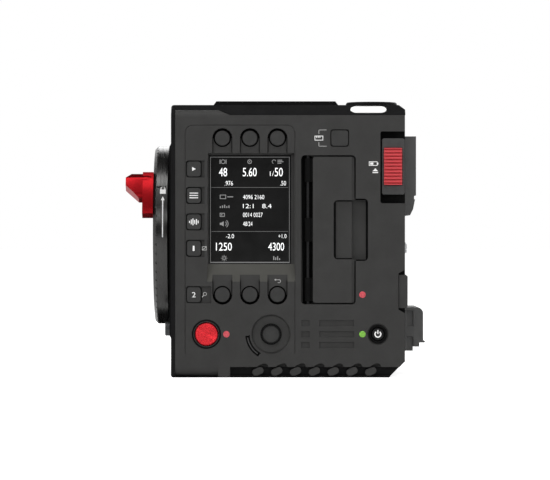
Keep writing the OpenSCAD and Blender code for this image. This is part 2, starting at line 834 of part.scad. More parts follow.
pillar_r = 1.5;
pillar_inset = 3;
board_margin = 1;
board_x0 = inner_x0 + board_margin;
board_z0 = floor_t + board_margin;
board_z1 = ceiling_z - board_margin;
board_mid_x = well_x1 + board_margin;
board_arm_z0 = well_z1 + 2 * board_margin;
board_foot_z1 = door_z0 - 2 * board_margin;
pillar_places = [
  [board_x0 + pillar_inset, board_z0 + pillar_inset],
  [board_x0 + pillar_inset, keys_low_z + 3 * pillar_inset],
  [board_x0 + pillar_inset / 2, board_z1 - pillar_inset / 2],
  [well_x1 - pillar_inset, board_z0 + pillar_inset / 2],
  [power_x - 3 * pillar_inset, board_z0 + pillar_inset],
  [media_key_x - 3 * pillar_inset, board_z1 - pillar_inset / 2]
];

module right_side_cover() {
  color(cover_grey) difference() {
    mirror([0, 1, 0]) cover_blank();
    // exhaust slots in front of the fan
    for (i = [0:vent_count - 1]) {
      along_y(-back_y - over, -panel_y + over) polygon(capsule(
        fan_x, lens_z + (i - (vent_count - 1) / 2) * vent_pitch, vent_len - vent_h, vent_h / 2, 0));
    }
    // recessed socket field
    along_y(-panel_y - socket_sink, -panel_y + over) polygon(rounded(
      socket_x - socket_field_w / 2, socket_x + socket_field_w / 2, socket_z0, socket_z1, vent_h));
    for (s = sockets) {
      rod_y(socket_x, s[0], s[1] + fit_gap, -back_y - over, -panel_y + over);
    }
    for (x = side_screw_xs, z = side_screw_zs) {
      rod_y(x, z, screw_r + fit_gap, -panel_y - screw_h, -panel_y + over);
      rod_y(x, z, screw_shank_r + fit_gap, -back_y - over, -panel_y);
    }
    mirror([0, 1, 0]) fin_notches();
  }
}

vent_count = 9;
vent_pitch = 4.6;
vent_h = 2.2;
vent_len = 40;
socket_sink = 3.0;
socket_inset = 15.4;
socket_x = cover_x1 - socket_inset;
socket_field_w = 20.0;
socket_margin = 6.0;
power_socket_r = 7.0;
audio_socket_r = 3.6;
video_socket_r = 6.0;
audio_pitch = 11.0;
video_pitch = 18.0;
power_socket_rise = 4.0;
power_socket_z = control_z + power_socket_rise;
audio_rise = 18.4;
audio_socket_z = power_socket_z + audio_rise;
video_rise = 27.0;
video_socket_z = audio_socket_z + audio_pitch + video_rise;
socket_z0 = power_socket_z - power_socket_r - socket_sink;
socket_z1 = video_socket_z + video_pitch + video_socket_r + socket_margin;
// Each socket: height on the cover and radius of its shell
sockets = [
  [power_socket_z, power_socket_r], [audio_socket_z, audio_socket_r],
  [audio_socket_z + audio_pitch, audio_socket_r], [video_socket_z, video_socket_r],
  [video_socket_z + video_pitch, video_socket_r]
];
screw_shank_r = 1.1;
screw_len = 4;

module top_plate() {
  top_z = body_h + top_plate_proud;
  color(black_paint) difference() {
    union() {
      slab(top_plate_x0, top_plate_x1, -top_plate_w / 2, top_plate_w / 2,
        body_h - top_plate_sink + fit_gap, body_h);
      along_y(-top_plate_w / 2, top_plate_w / 2) polygon([
        [top_plate_x0, body_h - fit_gap], [top_plate_x0, body_h],
        [top_plate_x0 + top_plate_slope, top_z], [top_plate_x1 - top_plate_slope, top_z],
        [top_plate_x1, body_h], [top_plate_x1, body_h - fit_gap]
      ]);
    }
    hole_z0 = body_h - top_plate_sink + top_hole_floor;
    rod_z(top_plate_x, 0, three_eighths_r, hole_z0, top_z + over);
    for (i = [-1, 1], j = [-1, 1]) {
      rod_z(top_plate_x + i * top_hole_x / 2, j * top_hole_y / 2, quarter_r, hole_z0, top_z + over);
    }
    for (s = top_screws) {
      rod_z(s[0], s[1], screw_r + fit_gap, top_z - screw_h, top_z + over);
      rod_z(s[0], s[1], screw_shank_r + fit_gap, body_h - top_plate_sink, top_z);
    }
  }
}

top_hole_floor = 1;

module top_cap() {
  color(black_paint) translate([cap_x, cap_y, body_h]) difference() {
    rotate_extrude() polygon([
      [0, 0], [cap_r, 0], [cap_r, cap_h - cap_edge], [cap_r - cap_edge, cap_h],
      [cap_r - 3 * cap_edge, cap_h], [cap_r - 4 * cap_edge, cap_h - cap_edge], [0, cap_h - cap_edge]
    ]);
    for (i = [0:cap_notch_count - 1]) {
      p = around(i, cap_notch_count, cap_r);
      rod_z(p[0], p[1], cap_notch_r, cap_edge, cap_h + over);
    }
  }
}

cap_edge = 0.6;
cap_notch_count = 48;
cap_notch_r = 0.35;

module base_plate() {
  color(black_paint) difference() {
    slab(-base_len / 2, base_len / 2, -base_w / 2, base_w / 2, 0, base_z1 - fit_gap);
    rod_z(0, 0, three_eighths_r, -over, base_z1 + over);
    for (i = [-1, 1]) {
      rod_z(i * base_hole_x / 2, 0, quarter_r, -over, base_z1 + over);
    }
    for (s = base_screws) {
      rod_z(s[0], s[1], screw_r + fit_gap, -over, screw_h + base_screw_sink);
      rod_z(s[0], s[1], screw_shank_r + fit_gap, 0, base_z1 + over);
    }
  }
}

base_screw_sink = 0.2;

// Seven slanted fins in the foot band of each side
module foot_fins() {
  color(cover_grey) both_sides() {
    for (i = [0:fin_count - 1]) {
      along_y(panel_y + sole_gap, panel_y + band_depth) polygon(
        capsule(fin_x(i), fin_z, fin_len, fin_r, fin_slant));
    }
  }
}

front_button_rise = 1.9;
front_button_inset = 26;
front_button_y = panel_y + front_button_inset;
front_button_z = control_z + front_button_rise;

module front_plate() {
  color(black_paint) difference() {
    intersection() {
      along_x(x0 - plate_t, x0)
        polygon(rounded(-plate_w / 2, plate_w / 2, plate_z0, plate_z1, plate_corner_r));
      along_y(-plate_w, plate_w) polygon([
        [x0, plate_z0], [x0 - plate_t, plate_z0 + plate_slope],
        [x0 - plate_t, plate_z1 - plate_slope], [x0, plate_z1]
      ]);
    }
    rod_x(0, lens_z, spigot_r + fit_gap, x0 - 2 * over - plate_t, x0 + over);
    rod_x(front_button_y, front_button_z, front_button_r + key_gap, x0 - 2 * over - plate_t, x0 + over);
  }
}

plate_slope = 2.0;
plate_corner_r = 5.0;

// Fixed base of the lens mount with a spigot through the front wall
module mount_base() {
  color(black_paint) difference() {
    union() {
      rod_x(0, lens_z, mount_base_r, flange_back_x, x0 - plate_t);
      rod_x(0, lens_z, spigot_r, x0 - plate_t - over, inner_x0);
    }
    rod_x(0, lens_z, throat_r, flange_back_x - over, inner_x0 + over);
    facing_front(flange_back_x) contact_pocket(-contact_depth, over);
    for (i = [0:mount_screw_count - 1]) {
      facing_front(flange_back_x) mount_screw_hole(i, mount_screw_r - fit_gap, -2 * mount_screw_h, over);
    }
    facing_front(flange_back_x) index_pin_hole(-2 * mount_screw_h, over);
  }
}

contact_depth = 2.4;
contact_margin = 1.3;
contact_r0 = throat_r + contact_margin;
contact_r1 = flange_r - contact_margin;
contact_half_angle = 15;

// Curved pocket for the contact block, in the mount's own frame
module contact_pocket(za, zb, g = fit_gap) {
  translate([0, 0, za]) linear_extrude(height = zb - za) polygon(ring_sector(
    0, 0, contact_r0 - g, contact_r1 + g, 180 - contact_half_angle, 180 + contact_half_angle));
}

module mount_screw_hole(i, r, za, zb) {
  p = around(i, mount_screw_count, mount_screw_pcr, 30);
  translate([p[0], p[1], za]) cylinder(r = r, h = zb - za);
}

index_pin_r = 1.1;
index_pin_h = 1.3;

module index_pin_hole(za, zb, r = index_pin_r + running_gap) {
  translate([mount_screw_pcr, 0, za]) cylinder(r = r, h = zb - za);
}

// Steel seat of the lens
module mount_flange() {
  color(steel) facing_front(flange_back_x) difference() {
    rotate_extrude() polygon([
      [throat_r, 0], [flange_r, 0], [flange_r, flange_t - flange_edge],
      [flange_r - flange_edge, flange_t], [throat_r, flange_t]
    ]);
    contact_pocket(-over, flange_t + over);
    for (i = [0:mount_screw_count - 1]) {
      mount_screw_hole(i, mount_screw_r + fit_gap, flange_t - mount_screw_h, flange_t + over);
      mount_screw_hole(i, mount_screw_r - 2 * fit_gap, -over, flange_t);
    }
    index_pin_hole(-over, flange_t + over);
  }
}

flange_edge = 0.4;

// Rotating ring with a front lip that clamps the lens
module mount_lock_ring() {
  front = ring_x1 - ring_x0;
  color(black_paint) facing_front(ring_x1) difference() {
    union() {
      rotate_extrude($fn = 128) polygon([
        [ring_inner_r, 0], [ring_r - ring_edge / 2, 0], [ring_r, ring_edge / 2],
        [ring_r, front - ring_edge], [ring_r - ring_edge, front], [lip_r, front],
        [lip_r, front - lip_t], [ring_inner_r, front - lip_t]
      ]);
      // raised grip sector on the rim
      translate([0, 0, ring_edge]) linear_extrude(height = front - 2 * ring_edge - over / 2)
        polygon(ring_sector(
          0, 0, ring_r - over, ring_r + grip_sector_rise, grip_sector_a0, grip_sector_a1, 16));
    }
    // gates in the lip for the lens's own lugs
    for (i = [0:2]) {
      translate([0, 0, front - 2 * lip_t]) linear_extrude(height = 3 * lip_t) polygon(ring_sector(
        0, 0, lip_r - over, ring_inner_r + over, 120 * i + gate_a0, 120 * i + gate_a1));
    }
    // fine serrations round the front edge
    for (i = [0:serration_count - 1]) {
      p = around(i, serration_count, ring_r);
      translate([p[0], p[1], front - ring_edge - over])
        cylinder(r = serration_r, h = ring_edge + 2 * over, $fn = 16);
    }
  }
}

ring_edge = 1.4;
grip_sector_rise = 0.7;
grip_sector_a0 = -58;
grip_sector_a1 = -32;
gate_a0 = 40;
gate_a1 = 70;
serration_count = 60;
serration_r = 0.5;

// Lever on the ring's front: a root along the rim and a bevelled tab that stands forward
module mount_lever() {
  half = lever_len / 2;
  tab_top = half - lever_tab_drop;
  tab_low = tab_top - lever_tab_h;
  tip_x = ring_x0 - lever_reach;
  root_x = ring_x0 - lever_root / 2;
  inner_r = ring_r - lever_depth;
  face_r = ring_r - over;
  color(red_metal) translate([0, 0, lens_z]) rotate([90 - lever_angle, 0, 0]) {
    intersection() {
      along_x(ring_x0 - lever_root, ring_x0) circle(ring_r);
      slab(ring_x0 - lever_root, ring_x0, -half, half, inner_r, ring_r + over);
    }
    intersection() {
      along_z(inner_r, ring_r) polygon([
        [root_x, tab_top], [tip_x + lever_chamfer, tab_top], [tip_x, tab_top - lever_chamfer],
        [tip_x, tab_low + lever_slant], [tip_x + lever_slant, tab_low], [root_x, tab_low]
      ]);
      along_x(tip_x - over, ring_x0) polygon([
        [tab_low, inner_r], [tab_low, face_r - lever_facet / 2], [tab_low + lever_facet, face_r],
        [tab_top - lever_facet, face_r], [tab_top, face_r - lever_facet / 2], [tab_top, inner_r]
      ]);
    }
  }
}

lever_depth = 6.2;
lever_tab_drop = 0.8;
lever_tab_h = 13.2;
lever_slant = 6.3;
lever_chamfer = 2.7;
lever_facet = 2.8;

// Screws of the steel flange and the pin that orients the lens
module mount_fasteners() {
  color(steel) facing_front(flange_back_x) {
    for (i = [0:mount_screw_count - 1]) {
      difference() {
        union() {
          mount_screw_hole(i, mount_screw_r, flange_t - mount_screw_h + fit_gap / 2, flange_t - fit_gap);
          mount_screw_hole(i, mount_screw_r - 3 * fit_gap, -mount_screw_h, flange_t - mount_screw_h / 2);
        }
        p = around(i, mount_screw_count, mount_screw_pcr, 30);
        translate([p[0], p[1], flange_t - mount_screw_h / 2])
          cylinder(r = mount_screw_r / 2, h = 2 * over, $fn = 6);
      }
    }
    index_pin_hole(-mount_screw_h, flange_t + index_pin_h, index_pin_r);
  }
}

// Contact block with a row of small pins
module lens_contacts() {
  facing_front(flange_back_x) {
    color(black_paint) contact_pocket(-contact_depth + fit_gap, flange_t, 0);
    color(gold) for (i = [0:lens_pin_count - 1]) {
      pin_r = (contact_r0 + contact_r1) / 2;
      a = 180 + (i - (lens_pin_count - 1) / 2) * lens_pin_angle;
      p = [pin_r * cos(a), pin_r * sin(a)];
      translate([p[0], p[1], flange_t - fit_gap]) cylinder(r = lens_pin_r, h = lens_pin_h, $fn = 24);
    }
  }
}

lens_pin_count = 7;
lens_pin_angle = 3.8;
lens_pin_r = 0.5;
lens_pin_h = 0.7;

module front_record_button() {
  inner = inner_x0;
  color(black_paint) difference() {
    union() {
      rod_x(front_button_y, front_button_z, front_button_r, x0 - front_button_reach, inner + fit_gap);
      rod_x(front_button_y, front_button_z, front_button_r + key_flange, inner + fit_gap,
        inner + 2 * flange_t_key);
    }
    translate([x0 - front_button_reach, front_button_y, front_button_z]) rotate([0, -90, 0]) rotate_extrude()
      polygon([[0, -button_dish], [front_button_r * button_dish_share, 0], [0, over]]);
  }
}

button_dish = 0.5;
button_dish_share = 0.8;

frame_wall = 5.0;
frame_tube_r = throat_r + frame_wall;
frame_flange_r = spigot_r + frame_wall;
frame_reach = 7.0;
frame_plate_x = sensor_x - frame_reach;
frame_plate_t = 5.0;
frame_flange_t = 3.0;
filter_sink = 2.0;
filter_x = frame_plate_x + filter_sink;
filter_t = 1.5;
frame_half = 29;
post_r = 2;
post_inset = 4;

// Tube and plate that hold the filter and the sensor square to the mount
module sensor_frame() {
  color(carriage_grey) difference() {
    union() {
      rod_x(0, lens_z, frame_flange_r, inner_x0, inner_x0 + frame_flange_t);
      rod_x(0, lens_z, frame_tube_r, inner_x0, frame_plate_x + over);
      slab(frame_plate_x, frame_plate_x + frame_plate_t, -frame_half, frame_half,
        lens_z - frame_half, lens_z + frame_half);
      for (i = [-1, 1], j = [-1, 1]) {
        rod_x(i * (frame_half - post_inset), lens_z + j * (frame_half - post_inset), post_r,
          frame_plate_x + frame_plate_t - over, sensor_board_x);
      }
    }
    rod_x(0, lens_z, throat_r + over, inner_x0 - over, frame_plate_x);
    slab(frame_plate_x - over, frame_plate_x + frame_plate_t + over, -sensor_w / 2, sensor_w / 2,
      lens_z - sensor_h / 2, lens_z + sensor_h / 2);
    seat_w = sensor_w / 2 + filter_rim;
    seat_h = sensor_h / 2 + filter_rim;
    slab(filter_x, frame_plate_x + frame_plate_t + over, -seat_w, seat_w, lens_z - seat_h, lens_z + seat_h);
  }
}

filter_rim = 2.5;

module filter_glass() {
  rim = filter_rim - fit_gap;
  color([0.5, 0.75, 0.8, 0.5]) slab(filter_x + fit_gap, filter_x + filter_t, -sensor_w / 2 - rim,
    sensor_w / 2 + rim, lens_z - sensor_h / 2 - rim, lens_z + sensor_h / 2 + rim);
}

module image_sensor() {
  rim = filter_rim - 2 * fit_gap;
  color(screen_black) difference() {
    slab(filter_x + filter_t + fit_gap, sensor_board_x, -sensor_w / 2 - rim, sensor_w / 2 + rim,
      lens_z - sensor_h / 2 - rim, lens_z + sensor_h / 2 + rim);
    slab(filter_x, sensor_x, -sensor_w / 2 + rim, sensor_w / 2 - rim,
      lens_z - sensor_h / 2 + rim, lens_z + sensor_h / 2 - rim);
  }
}

module sensor_board() {
  color(board_green) slab(sensor_board_x, sensor_board_x + board_t, -frame_half + over, frame_half - over,
    lens_z - frame_half + over, lens_z + frame_half - over);
}

module screen_glass() {
  color(screen_black) difference() {
    slab(glass_x0, glass_x1, well_y, well_y + glass_t, glass_z0, glass_z1);
    slab(glass_x0 + glass_line, glass_x1 - glass_line, well_y - over, well_y + glass_line_depth,
      glass_z0 + glass_line, glass_z1 - glass_line);
  }
}

glass_line = 0.8;
glass_line_depth = 0.2;

module lcd_module() {
  color(steel) slab(glass_x0 - lcd_rim, glass_x1 + lcd_rim, lcd_y0, lcd_y0 + lcd_t,
    glass_z0 - lcd_rim, glass_z1 + lcd_rim);
}

// Hidden part of a panel key: the flange that keeps it in and the stem over its switch
module key_stem(x, z) {
  rod_y(x, z, key_stem_r, key_web_y, stem_end_y);
}

module soft_key(i) {
  color(key_grey) {
    rod_y(soft_x(i), soft_z(i), soft_r, panel_y + key_cap_sink, key_web_y + flange_seat_gap + over / 2);
    rod_y(soft_x(i), soft_z(i), soft_r + key_flange, key_web_y + flange_seat_gap,
      key_web_y + flange_seat_gap + flange_t_key);
    key_stem(soft_x(i), soft_z(i));
  }
}

module square_key(x, z, w, h) {
  flange = key_flange;
  color(key_grey) {
    along_y(panel_y + key_cap_sink / 2, key_web_y + flange_seat_gap + over / 2) polygon(
      rounded(x - w / 2, x + w / 2, z - h / 2, z + h / 2, key_corner_r));
    slab(x - w / 2 - flange, x + w / 2 + flange, key_web_y + flange_seat_gap,
      key_web_y + flange_seat_gap + flange_t_key, z - h / 2 - flange, z + h / 2 + flange);
    key_stem(x, z);
  }
}

module soft_key_1() { soft_key(0); }
module soft_key_2() { soft_key(1); }
module soft_key_3() { soft_key(2); }
module soft_key_4() { soft_key(3); }
module soft_key_5() { soft_key(4); }
module soft_key_6() { soft_key(5); }
module play_key() { square_key(key_x, column_z(0), key_w, key_h); }
module menu_key() { square_key(key_x, column_z(1), key_w, key_h); }
module audio_key() { square_key(key_x, column_z(2), key_w, key_h); }
module user_key_1() { square_key(key_x, column_z(3), key_w, key_h); }
module user_key_2() { square_key(key_x, column_z(4), key_w, key_h); }
module media_key() { square_key(media_key_x, keys_up_z, media_key_w, media_key_h); }

bezel_seat = 2.0;
bezel_back_y = back_y - bezel_seat;
bezel_proud = 0.2;

// Ring that is set in the cover round a button
module bezel(x, r, inner_r) {
  h = bezel_back_y - panel_y;
  facing_left(x, bezel_back_y, control_z) rotate_extrude() polygon([
    [inner_r, 0], [r, 0], [r, h], [r - bezel_edge, h + bezel_proud],
    [inner_r + bezel_edge, h + bezel_proud], [inner_r, h - bezel_edge]
  ]);
}

bezel_edge = 0.4;
cap_ring_gap = 0.25;

module record_bezel() {
  color(black_paint) bezel(record_x, record_bezel_r, record_r + cap_ring_gap);
}

module power_bezel() {
  color(black_paint) bezel(power_x, power_bezel_r, power_r + cap_ring_gap);
}

// Round cap with a shallow cone, a flange behind its bezel and a stem
module round_button(x, r, flange_r, travel) {
  seat = bezel_back_y + flange_seat_gap;
  stem_end = key_board_y - switch_h - travel - switch_gap;
  facing_left(x, seat, control_z) rotate_extrude() polygon([
    [0, -flange_t_key], [flange_r, -flange_t_key], [flange_r, 0], [r, 0],
    [r, seat - panel_y - bezel_edge], [r - bezel_edge, seat - panel_y], [0, seat - panel_y - bezel_edge]
  ]);
  rod_y(x, control_z, key_stem_r, seat, stem_end);
}

module record_button() {
  color(red_metal) round_button(record_x, record_r, record_bezel_r - 2 * fit_gap, record_travel);
}

module power_button() {
  color(black_paint) round_button(power_x, power_r, power_bezel_r - 2 * fit_gap, key_travel);
}

module lamp(x, z) {
  rod_y(x, z, lamp_r, panel_y - fit_gap, key_board_y - fit_gap);
}

module red_lamps() {
  color("red") {
    lamp(record_lamp_x, control_z);
    lamp(lamp_x, keys_low_z);
  }
}

module power_lamp() {
  color("lime") lamp(lamp_x, control_z);
}

dial_notch_count = 36;
dial_notch_w = 0.42;
dial_notch_depth = 1.0;
dial_lift = 0.3;

module dial_knob() {
  floor_y = panel_y + dish_depth;
  color(black_paint) {
    facing_left(dial_x, floor_y - dial_lift, control_z) difference() {
      union() {
        cylinder(r = dial_r, h = dial_h - bezel_edge);
        cylinder(r = dial_r - 2 * bezel_edge, h = dial_h);
      }
      for (i = [0:dial_notch_count - 1]) {
        rotate([0, 0, i * 360 / dial_notch_count]) slab(dial_r - dial_notch_depth, dial_r + over,
          -dial_notch_w / 2, dial_notch_w / 2, -over, dial_h + over);
      }
      translate([0, 0, dial_h - bezel_edge]) cylinder(r = dial_r - 4 * bezel_edge, h = 2 * bezel_edge);
    }
    rod_y(dial_x, control_z, dial_stem_r, floor_y - dial_lift - over, key_board_y - fit_gap);
  }
}

module dial_encoder() {
  color(steel) difference() {
    slab(dial_x - encoder_w / 2, dial_x + encoder_w / 2, encoder_y0, key_board_y,
      control_z - encoder_w / 2, control_z + encoder_w / 2);
    rod_y(dial_x, control_z, dial_stem_r + running_gap, encoder_y0 - over, key_board_y + over);
  }
}

// Board behind the panel with a switch under each key
module key_board() {
  color(board_green) {
    along_y(key_board_y, key_board_y + board_t) polygon([
      [board_x0, board_z0], [power_x + 2 * pillar_inset - board_margin, board_z0],
      [power_x + 2 * pillar_inset - board_margin, board_foot_z1], [board_mid_x, board_foot_z1],
      [board_mid_x, board_arm_z0], [media_key_x + 2 * pillar_inset, board_arm_z0],
      [media_key_x + 2 * pillar_inset, board_z1], [board_x0, board_z1]
    ]);
    for (i = [0:5]) {
      key_switch(soft_x(i), soft_z(i));
    }
    for (i = [0:4]) {
      key_switch(key_x, column_z(i));
    }
    key_switch(media_key_x, keys_up_z);
    key_switch(record_x, control_z);
    key_switch(power_x, control_z);
  }
}

module key_switch(x, z) {
  rod_y(x, z, key_stem_r + over, key_board_y - switch_h, key_board_y + fit_gap);
}

knuckle_count = 3;
knuckle_len = 11;
leaf_reach = 3;

// Height of the foot of a hinge knuckle
knuckle_pitch = (door_z1 - door_z0 - 4 * door_gap - knuckle_len) / (knuckle_count - 1);
function knuckle_z(i) = door_z0 + 2 * door_gap + i * knuckle_pitch;

// Tongue of a hinge leaf, grown by g for its slot in the door
module hinge_leaf(i, g) {
  slab(hinge_x, door_plate_x0 + leaf_reach + g, hinge_y - knuckle_r / 2 - g, hinge_y + knuckle_r / 2 + g,
    knuckle_z(i) - g, knuckle_z(i) + knuckle_len + g);
}

module door_hinge() {
  color(black_paint) difference() {
    for (i = [0:knuckle_count - 1]) {
      rod_z(hinge_x, hinge_y, knuckle_r, knuckle_z(i), knuckle_z(i) + knuckle_len);
      hinge_leaf(i, 0);
    }
    rod_z(hinge_x, hinge_y, hinge_pin_r + running_gap, door_z0, door_z1);
  }
}

module media_door() {
  color(cover_grey) difference() {
    along_y(door_y0, door_y1) polygon(rounded(
      door_plate_x0, door_plate_x1, door_z0 + door_gap, door_z1 - door_gap, door_corner_r - door_gap));
    for (i = [0:knuckle_count - 1]) {
      hinge_leaf(i, fit_gap / 2);
    }
    along_y(door_y0 - over, door_y0 + door_pull_depth) polygon(rounded(
      door_plate_x1 - door_pull_w, door_plate_x1 + door_pull_w, door_mid_z - pull_h / 2 + door_gap,
      door_mid_z + pull_h / 2 - door_gap, door_corner_r));
    // step along the free edge
    slab(door_plate_x1 - door_edge_set, door_plate_x1 + over, door_y0 - over, door_y0 + door_step,
      door_z0, door_z1);
    // the free edge is set back where the finger reaches behind it
    slab(door_plate_x1 - door_edge_set, door_plate_x1 + over, door_y0 - over, door_y1 + over,
      door_mid_z - pull_h / 2 + door_gap, door_mid_z + pull_h / 2 - door_gap);
  }
}

door_edge_set = 1.1;
door_step = 0.5;

module door_hinge_pin() {
  reach = pin_reach - fit_gap;
  color(steel) rod_z(hinge_x, hinge_y, hinge_pin_r, door_z0 - reach, door_z1 + reach);
}

module media_cartridge() {
  color(carriage_grey) difference() {
    slab(cartridge_x - cartridge_t / 2, cartridge_x + cartridge_t / 2, cartridge_y0,
      cartridge_y0 + cartridge_len, door_mid_z - cartridge_h / 2, door_mid_z + cartridge_h / 2);
    // pull notch across the free end
    slab(cartridge_x - cartridge_t, cartridge_x + cartridge_t, cartridge_y0 + cartridge_sink,
      cartridge_y0 + 2 * cartridge_sink, door_mid_z - cartridge_h / 4, door_mid_z + cartridge_h / 4);
  }
}

module media_cage() {
  color(steel) difference() {
    slab(cage_x0, cage_x1, back_y, cage_y1, bay_z0 - cage_t, bay_z1 + cage_t);
    slab(bay_x0, bay_x1, back_y - over, cage_y1 - cage_t, bay_z0, bay_z1);
  }
}

module battery_slider() {
  color(carriage_grey) difference() {
    along_y(carriage_y0, carriage_y1) polygon(rounded(
      slot_x0 + 2 * carriage_gap, cover_x1 - fit_gap, carriage_z0, carriage_z1, 2 * over));
    slab(grip_x - grip_w / 2 - running_gap, grip_x + grip_w / 2 + running_gap, carriage_y0 - over,
      carriage_y0 + grip_seat, grip_z - grip_h / 2 - running_gap, grip_z + grip_h / 2 + running_gap);
  }
}

grip_seat = 0.8;
rib_w_share = 0.5;
rib_depth = 1.3;

module slider_grip() {
  ribs = floor(grip_h / rib_pitch);
  color(red_metal) difference() {
    slab(grip_x - grip_w / 2, grip_x + grip_w / 2, panel_y - grip_proud, carriage_y0 + grip_seat,
      grip_z - grip_h / 2, grip_z + grip_h / 2);
    for (i = [0:ribs - 1]) {
      za = grip_z + (i - (ribs - 1) / 2 - rib_w_share / 2) * rib_pitch;
      slab(grip_x - grip_w, grip_x + grip_w, panel_y - grip_proud - over, panel_y - grip_proud + rib_depth,
        za, za + rib_pitch * rib_w_share);
    }
  }
}

// Spring latch that holds the battery, drawn in by the slider
module battery_latch() {
  inside = inner_x1 - fit_gap;
  color(steel) {
    along_y(-latch_w / 2, latch_w / 2) polygon([
      [inside - over, latch_z - latch_h / 2], [x1 + latch_reach, latch_z - latch_h / 2],
      [x1 + latch_reach, latch_z], [x1 + fit_gap, latch_z + latch_h / 2],
      [inside - over, latch_z + latch_h / 2]
    ]);
    slab(inside - rear_t / 2, inside, -latch_w / 2 - key_flange, latch_w / 2 + key_flange,
      latch_z - latch_h / 2 - key_flange, latch_z + latch_h / 2 + key_flange);
  }
}

// Wedge receiver: a tapered seat with a lip, open at its top
module battery_receiver() {
  notch_z = receiver_z0 + receiver_h * notch_share;
  wedge_z0 = receiver_z0 + wedge_floor;
  color(carriage_grey) difference() {
    along_y(-receiver_w / 2, receiver_w / 2) polygon([
      [x1, receiver_z1], [receiver_x1, receiver_z1], [receiver_x1, notch_z],
      [receiver_x1 - notch_w, notch_z], [receiver_x1 - notch_w, notch_z - 2 * notch_w],
      [receiver_x1 - notch_w / 2, notch_z - 2 * notch_w],
      [receiver_x1 - receiver_taper / 2, receiver_z0 + receiver_taper],
      [receiver_x1 - receiver_taper, receiver_z0], [x1, receiver_z0]
    ]);
    along_x(receiver_x1 - wedge_lip - over, receiver_x1 + over) wedge(wedge_z0, 0);
    along_x(x1 + wedge_back, receiver_x1 - wedge_lip) wedge(wedge_z0 - wedge_under, wedge_under);
    for (s = receiver_screws) {
      rod_x(s[0], s[1], screw_r + fit_gap, receiver_x1 - 3 * screw_h, receiver_x1 + over);
      rod_x(s[0], s[1], screw_shank_r + fit_gap, x1 - over, receiver_x1);
    }
  }
}

notch_share = 0.25;
notch_w = 0.9;
receiver_taper = 2.8;
wedge_floor = 5;
wedge_back = 1.1;
wedge_under = 2;

module wedge(za, g) {
  polygon([
    [-wedge_foot_w / 2 - g, za], [wedge_foot_w / 2 + g, za],
    [wedge_top_w / 2 + g, receiver_z1 + over], [-wedge_top_w / 2 - g, receiver_z1 + over]
  ]);
}

// Bracket across the back, its ears in the rear edges of both side covers
module battery_pad() {
  pad_x1 = x1 + pad_t;
  color(black_paint) difference() {
    along_y(panel_y + pad_sink, -panel_y - pad_sink) polygon([
      [pad_x0, pad_z0], [pad_x1 - pad_corner, pad_z0], [pad_x1, pad_z0 + pad_corner],
      [pad_x1, pad_z1 - pad_corner], [pad_x1 - pad_corner, pad_z1], [pad_x0, pad_z1]
    ]);
    slab(pad_x0 - over, x1, back_y - fit_gap, -back_y + fit_gap, pad_z0 - over, pad_z1 + over);
  }
}

pad_lap = 2.9;
pad_x0 = cover_x1 - pad_lap;
pad_z0 = contact_z1 + 2 * fit_gap;
pad_z1 = contact_z1 + pad_h;
pad_sink = 0.6;
pad_corner = 0.8;
pad_notch_step = 0.6;
pad_notch_rise = 2.6;

blade_count = 4;
blade_pitch = 9.5;
blade_h = 8.4;
contact_recess = 3;
contact_face_w = 40;

module battery_contact_block() {
  xb = x1 + contact_reach;
  step = contact_h * contact_step_share;
  tread = contact_reach * tread_shares;
  color(black_paint) difference() {
    along_y(-contact_w / 2, contact_w / 2) polygon(concat(
      [[x1, contact_z0], [x1 + tread[0], contact_z0],
      [x1 + tread[0], contact_z0 + step], [x1 + tread[1], contact_z0 + step],
      [x1 + tread[1], contact_z0 + 2 * step],
      [xb + contact_lip, contact_z0 + 2 * step], [xb + contact_lip, contact_z0 + 2 * step + contact_lip],
      [xb, contact_z0 + 2 * step + contact_lip]],
      arc(xb - contact_corner_r, contact_z1 - contact_corner_r, contact_corner_r, 0, 90),
      [[x1, contact_z1]]
    ));
    slab(xb - contact_recess, xb + over, -contact_face_w / 2, contact_face_w / 2,
      contact_z0 + 3 * step, contact_z1 - contact_recess);
    // shallow pockets on both ends
    both_sides() for (share = contact_pocket_shares) {
      slab(x1 + pocket_x, x1 + pocket_x + pocket_w, -contact_w / 2 - over, -contact_w / 2 + contact_lip,
        contact_z0 + share[0] * contact_h, contact_z0 + share[1] * contact_h);
    }
  }
}

contact_step_share = 0.095;
// Steps under the block and pockets in its ends, as shares of its reach and its height
tread_shares = [0.49, 0.81];
contact_pocket_shares = [[0.04, 0.33], [0.56, 0.93]];
pocket_x = 1.6;
pocket_w = 3.25;
contact_lip = 0.8;
contact_corner_r = 2.8;

module battery_contacts() {
  xb = x1 + contact_reach;
  mid = (contact_z0 + 3 * contact_step_share * contact_h + contact_z1 - contact_recess) / 2;
  color(gold) for (i = [0:blade_count - 1]) {
    y = (i - (blade_count - 1) / 2) * blade_pitch;
    slab(xb - contact_recess, xb - fit_gap, y - contact_lip, y + contact_lip,
      mid - blade_h / 2, mid + blade_h / 2);
  }
}

board_y1 = fan_y0 - main_board_gap / 2;
chip_t = 2;

module main_board() {
  color(board_green) {
    slab(main_board_x, main_board_x + board_t, key_board_y + board_t + main_board_gap / 2, board_y1,
      floor_t + fit_gap, ceiling_z - fit_gap);
    for (j = [-1, 1]) {
      slab(main_board_x + board_t - fit_gap, main_board_x + board_t + chip_t, -chip_w / 2, chip_w / 2,
        lens_z + j * chip_w - chip_w / 2, lens_z + j * chip_w + chip_w / 2);
    }
  }
}

chip_w = 22;
sink_base_t = 3;
fin_plate_t = 1.2;
fin_plate_pitch = 6;
fin_plate_count = 11;

